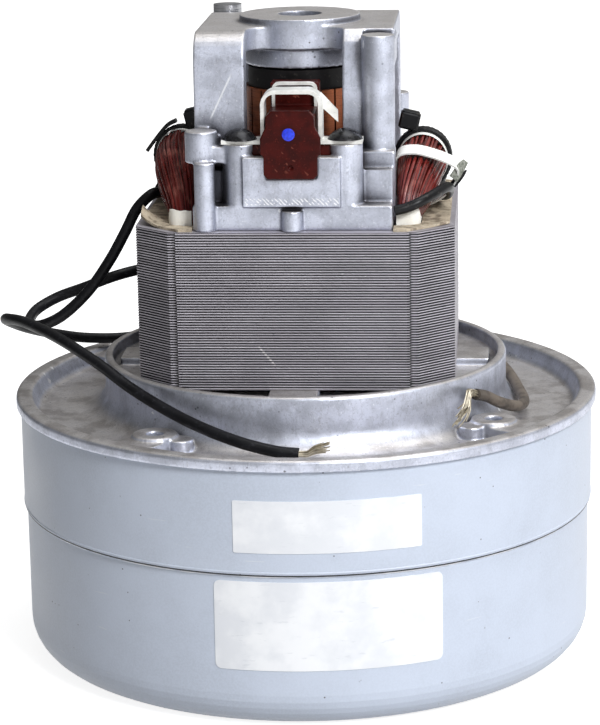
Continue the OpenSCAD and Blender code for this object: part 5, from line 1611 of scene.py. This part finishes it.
class MOTOR_OT_stage(MotorOperator):
    """Sets the floor, the lamps and the sky"""

    bl_idname = "motor.stage"
    bl_label = "Stage"

    def execute(self, context):
        look = stage()
        context.scene.view_settings.view_transform = "Standard"
        lamp("key", KEY_AT, look.key, KEY_SIZE)
        lamp("top", TOP_AT, look.top, TOP_SIZE)
        self.floor()
        self.sky(look.sky_low, look.sky_high)
        return {"FINISHED"}

    def floor(self):
        """Pale floor that keeps the shadow and is white to the camera."""
        half = FLOOR_SIDE / 2
        mesh = bpy.data.meshes.new("floor")
        corners = [(-half, -half, 0), (half, -half, 0), (half, half, 0), (-half, half, 0)]
        mesh.from_pydata(corners, [], [(0, 1, 2, 3)])
        obj = bpy.data.objects.new("floor", mesh)
        bpy.context.scene.collection.objects.link(obj)
        f = Finish("floor", roughness=0.9)
        f.set("Base Color", FLOOR_TONE)
        f.set("Specular IOR Level", 0.0)
        path = f.nodes.new("ShaderNodeLightPath").outputs
        sides = f.nodes.new("ShaderNodeSeparateXYZ")
        f.links.new(f.place, sides.inputs[0])
        away = f.nodes.new("ShaderNodeVectorMath")
        away.operation = "LENGTH"
        f.links.new(f.place, away.inputs[0])
        strength = f.band(away.outputs["Value"], *GLOW_REACH, GLOW_NEAR, GLOW_FAR)
        across = f.sums("ADD", sides.outputs["X"], f.product(sides.outputs["Y"], GLOW_LEAN))
        seen = f.sums("MAXIMUM", path["Is Glossy Ray"], path["Is Transmission Ray"])
        seen = f.product(seen, f.band(across, *GLOW_EDGE))
        seen = f.sums("MAXIMUM", path["Is Camera Ray"], seen)
        glow = f.nodes.new("ShaderNodeEmission")
        f.links.new(f.product(strength, seen), glow.inputs["Strength"])
        add = f.nodes.new("ShaderNodeAddShader")
        f.links.new(f.shader.outputs[0], add.inputs[0])
        f.links.new(glow.outputs[0], add.inputs[1])
        f.links.new(add.outputs[0], f.nodes["Material Output"].inputs["Surface"])
        mesh.materials.append(f.material)

    def sky(self, dim, bright):
        """Light from all round, stronger on the right and in front than on the left."""
        world = bpy.data.worlds.new("sky")
        bpy.context.scene.world = world
        world.use_nodes = True
        nodes = world.node_tree.nodes
        links = world.node_tree.links
        light = nodes["Background"]
        light.inputs["Color"].default_value = (*SKY_TINT, 1)
        place = nodes.new("ShaderNodeTexCoord")
        side = nodes.new("ShaderNodeVectorMath")
        side.operation = "DOT_PRODUCT"
        side.inputs[1].default_value = BRIGHT_SIDE
        ramp = nodes.new("ShaderNodeMapRange")
        ramp.interpolation_type = "SMOOTHSTEP"
        for socket, number in zip(("From Min", "From Max", "To Min", "To Max"), (-0.9, 0.9, dim, bright)):
            ramp.inputs[socket].default_value = number
        links.new(place.outputs["Generated"], side.inputs[0])
        links.new(side.outputs["Value"], ramp.inputs["Value"])
        links.new(ramp.outputs["Result"], light.inputs["Strength"])


STEPS = (
    MOTOR_OT_camera, MOTOR_OT_leads, MOTOR_OT_drum, MOTOR_OT_castings, MOTOR_OT_stack, MOTOR_OT_papers,
    MOTOR_OT_coils, MOTOR_OT_brush_gear, MOTOR_OT_rotor, MOTOR_OT_stage)


class MOTOR_PT_panel(bpy.types.Panel):
    """Lists the steps that dress the motor"""

    bl_label = "Vacuum motor unit"
    bl_idname = "MOTOR_PT_panel"
    bl_space_type = "VIEW_3D"
    bl_region_type = "UI"
    bl_category = "Motor"

    def draw(self, context):
        for step in STEPS:
            self.layout.operator(step.bl_idname)


CLASSES = (MotorColours, MotorForms, MotorStage, *STEPS, MOTOR_PT_panel)


def register():
    for cls in CLASSES:
        bpy.utils.register_class(cls)
    bpy.types.Scene.motor_colours = PointerProperty(type=MotorColours)
    bpy.types.Scene.motor_forms = PointerProperty(type=MotorForms)
    bpy.types.Scene.motor_stage = PointerProperty(type=MotorStage)


def unregister():
    del bpy.types.Scene.motor_stage
    del bpy.types.Scene.motor_forms
    del bpy.types.Scene.motor_colours
    for cls in reversed(CLASSES):
        bpy.utils.unregister_class(cls)


def main():
    register()
    bpy.ops.motor.camera()
    bpy.ops.motor.leads()
    bpy.ops.motor.drum()
    bpy.ops.motor.castings()
    bpy.ops.motor.stack()
    bpy.ops.motor.papers()
    bpy.ops.motor.coils()
    bpy.ops.motor.brush_gear()
    bpy.ops.motor.rotor()
    bpy.ops.motor.stage()


if __name__ == "__main__":
    main()
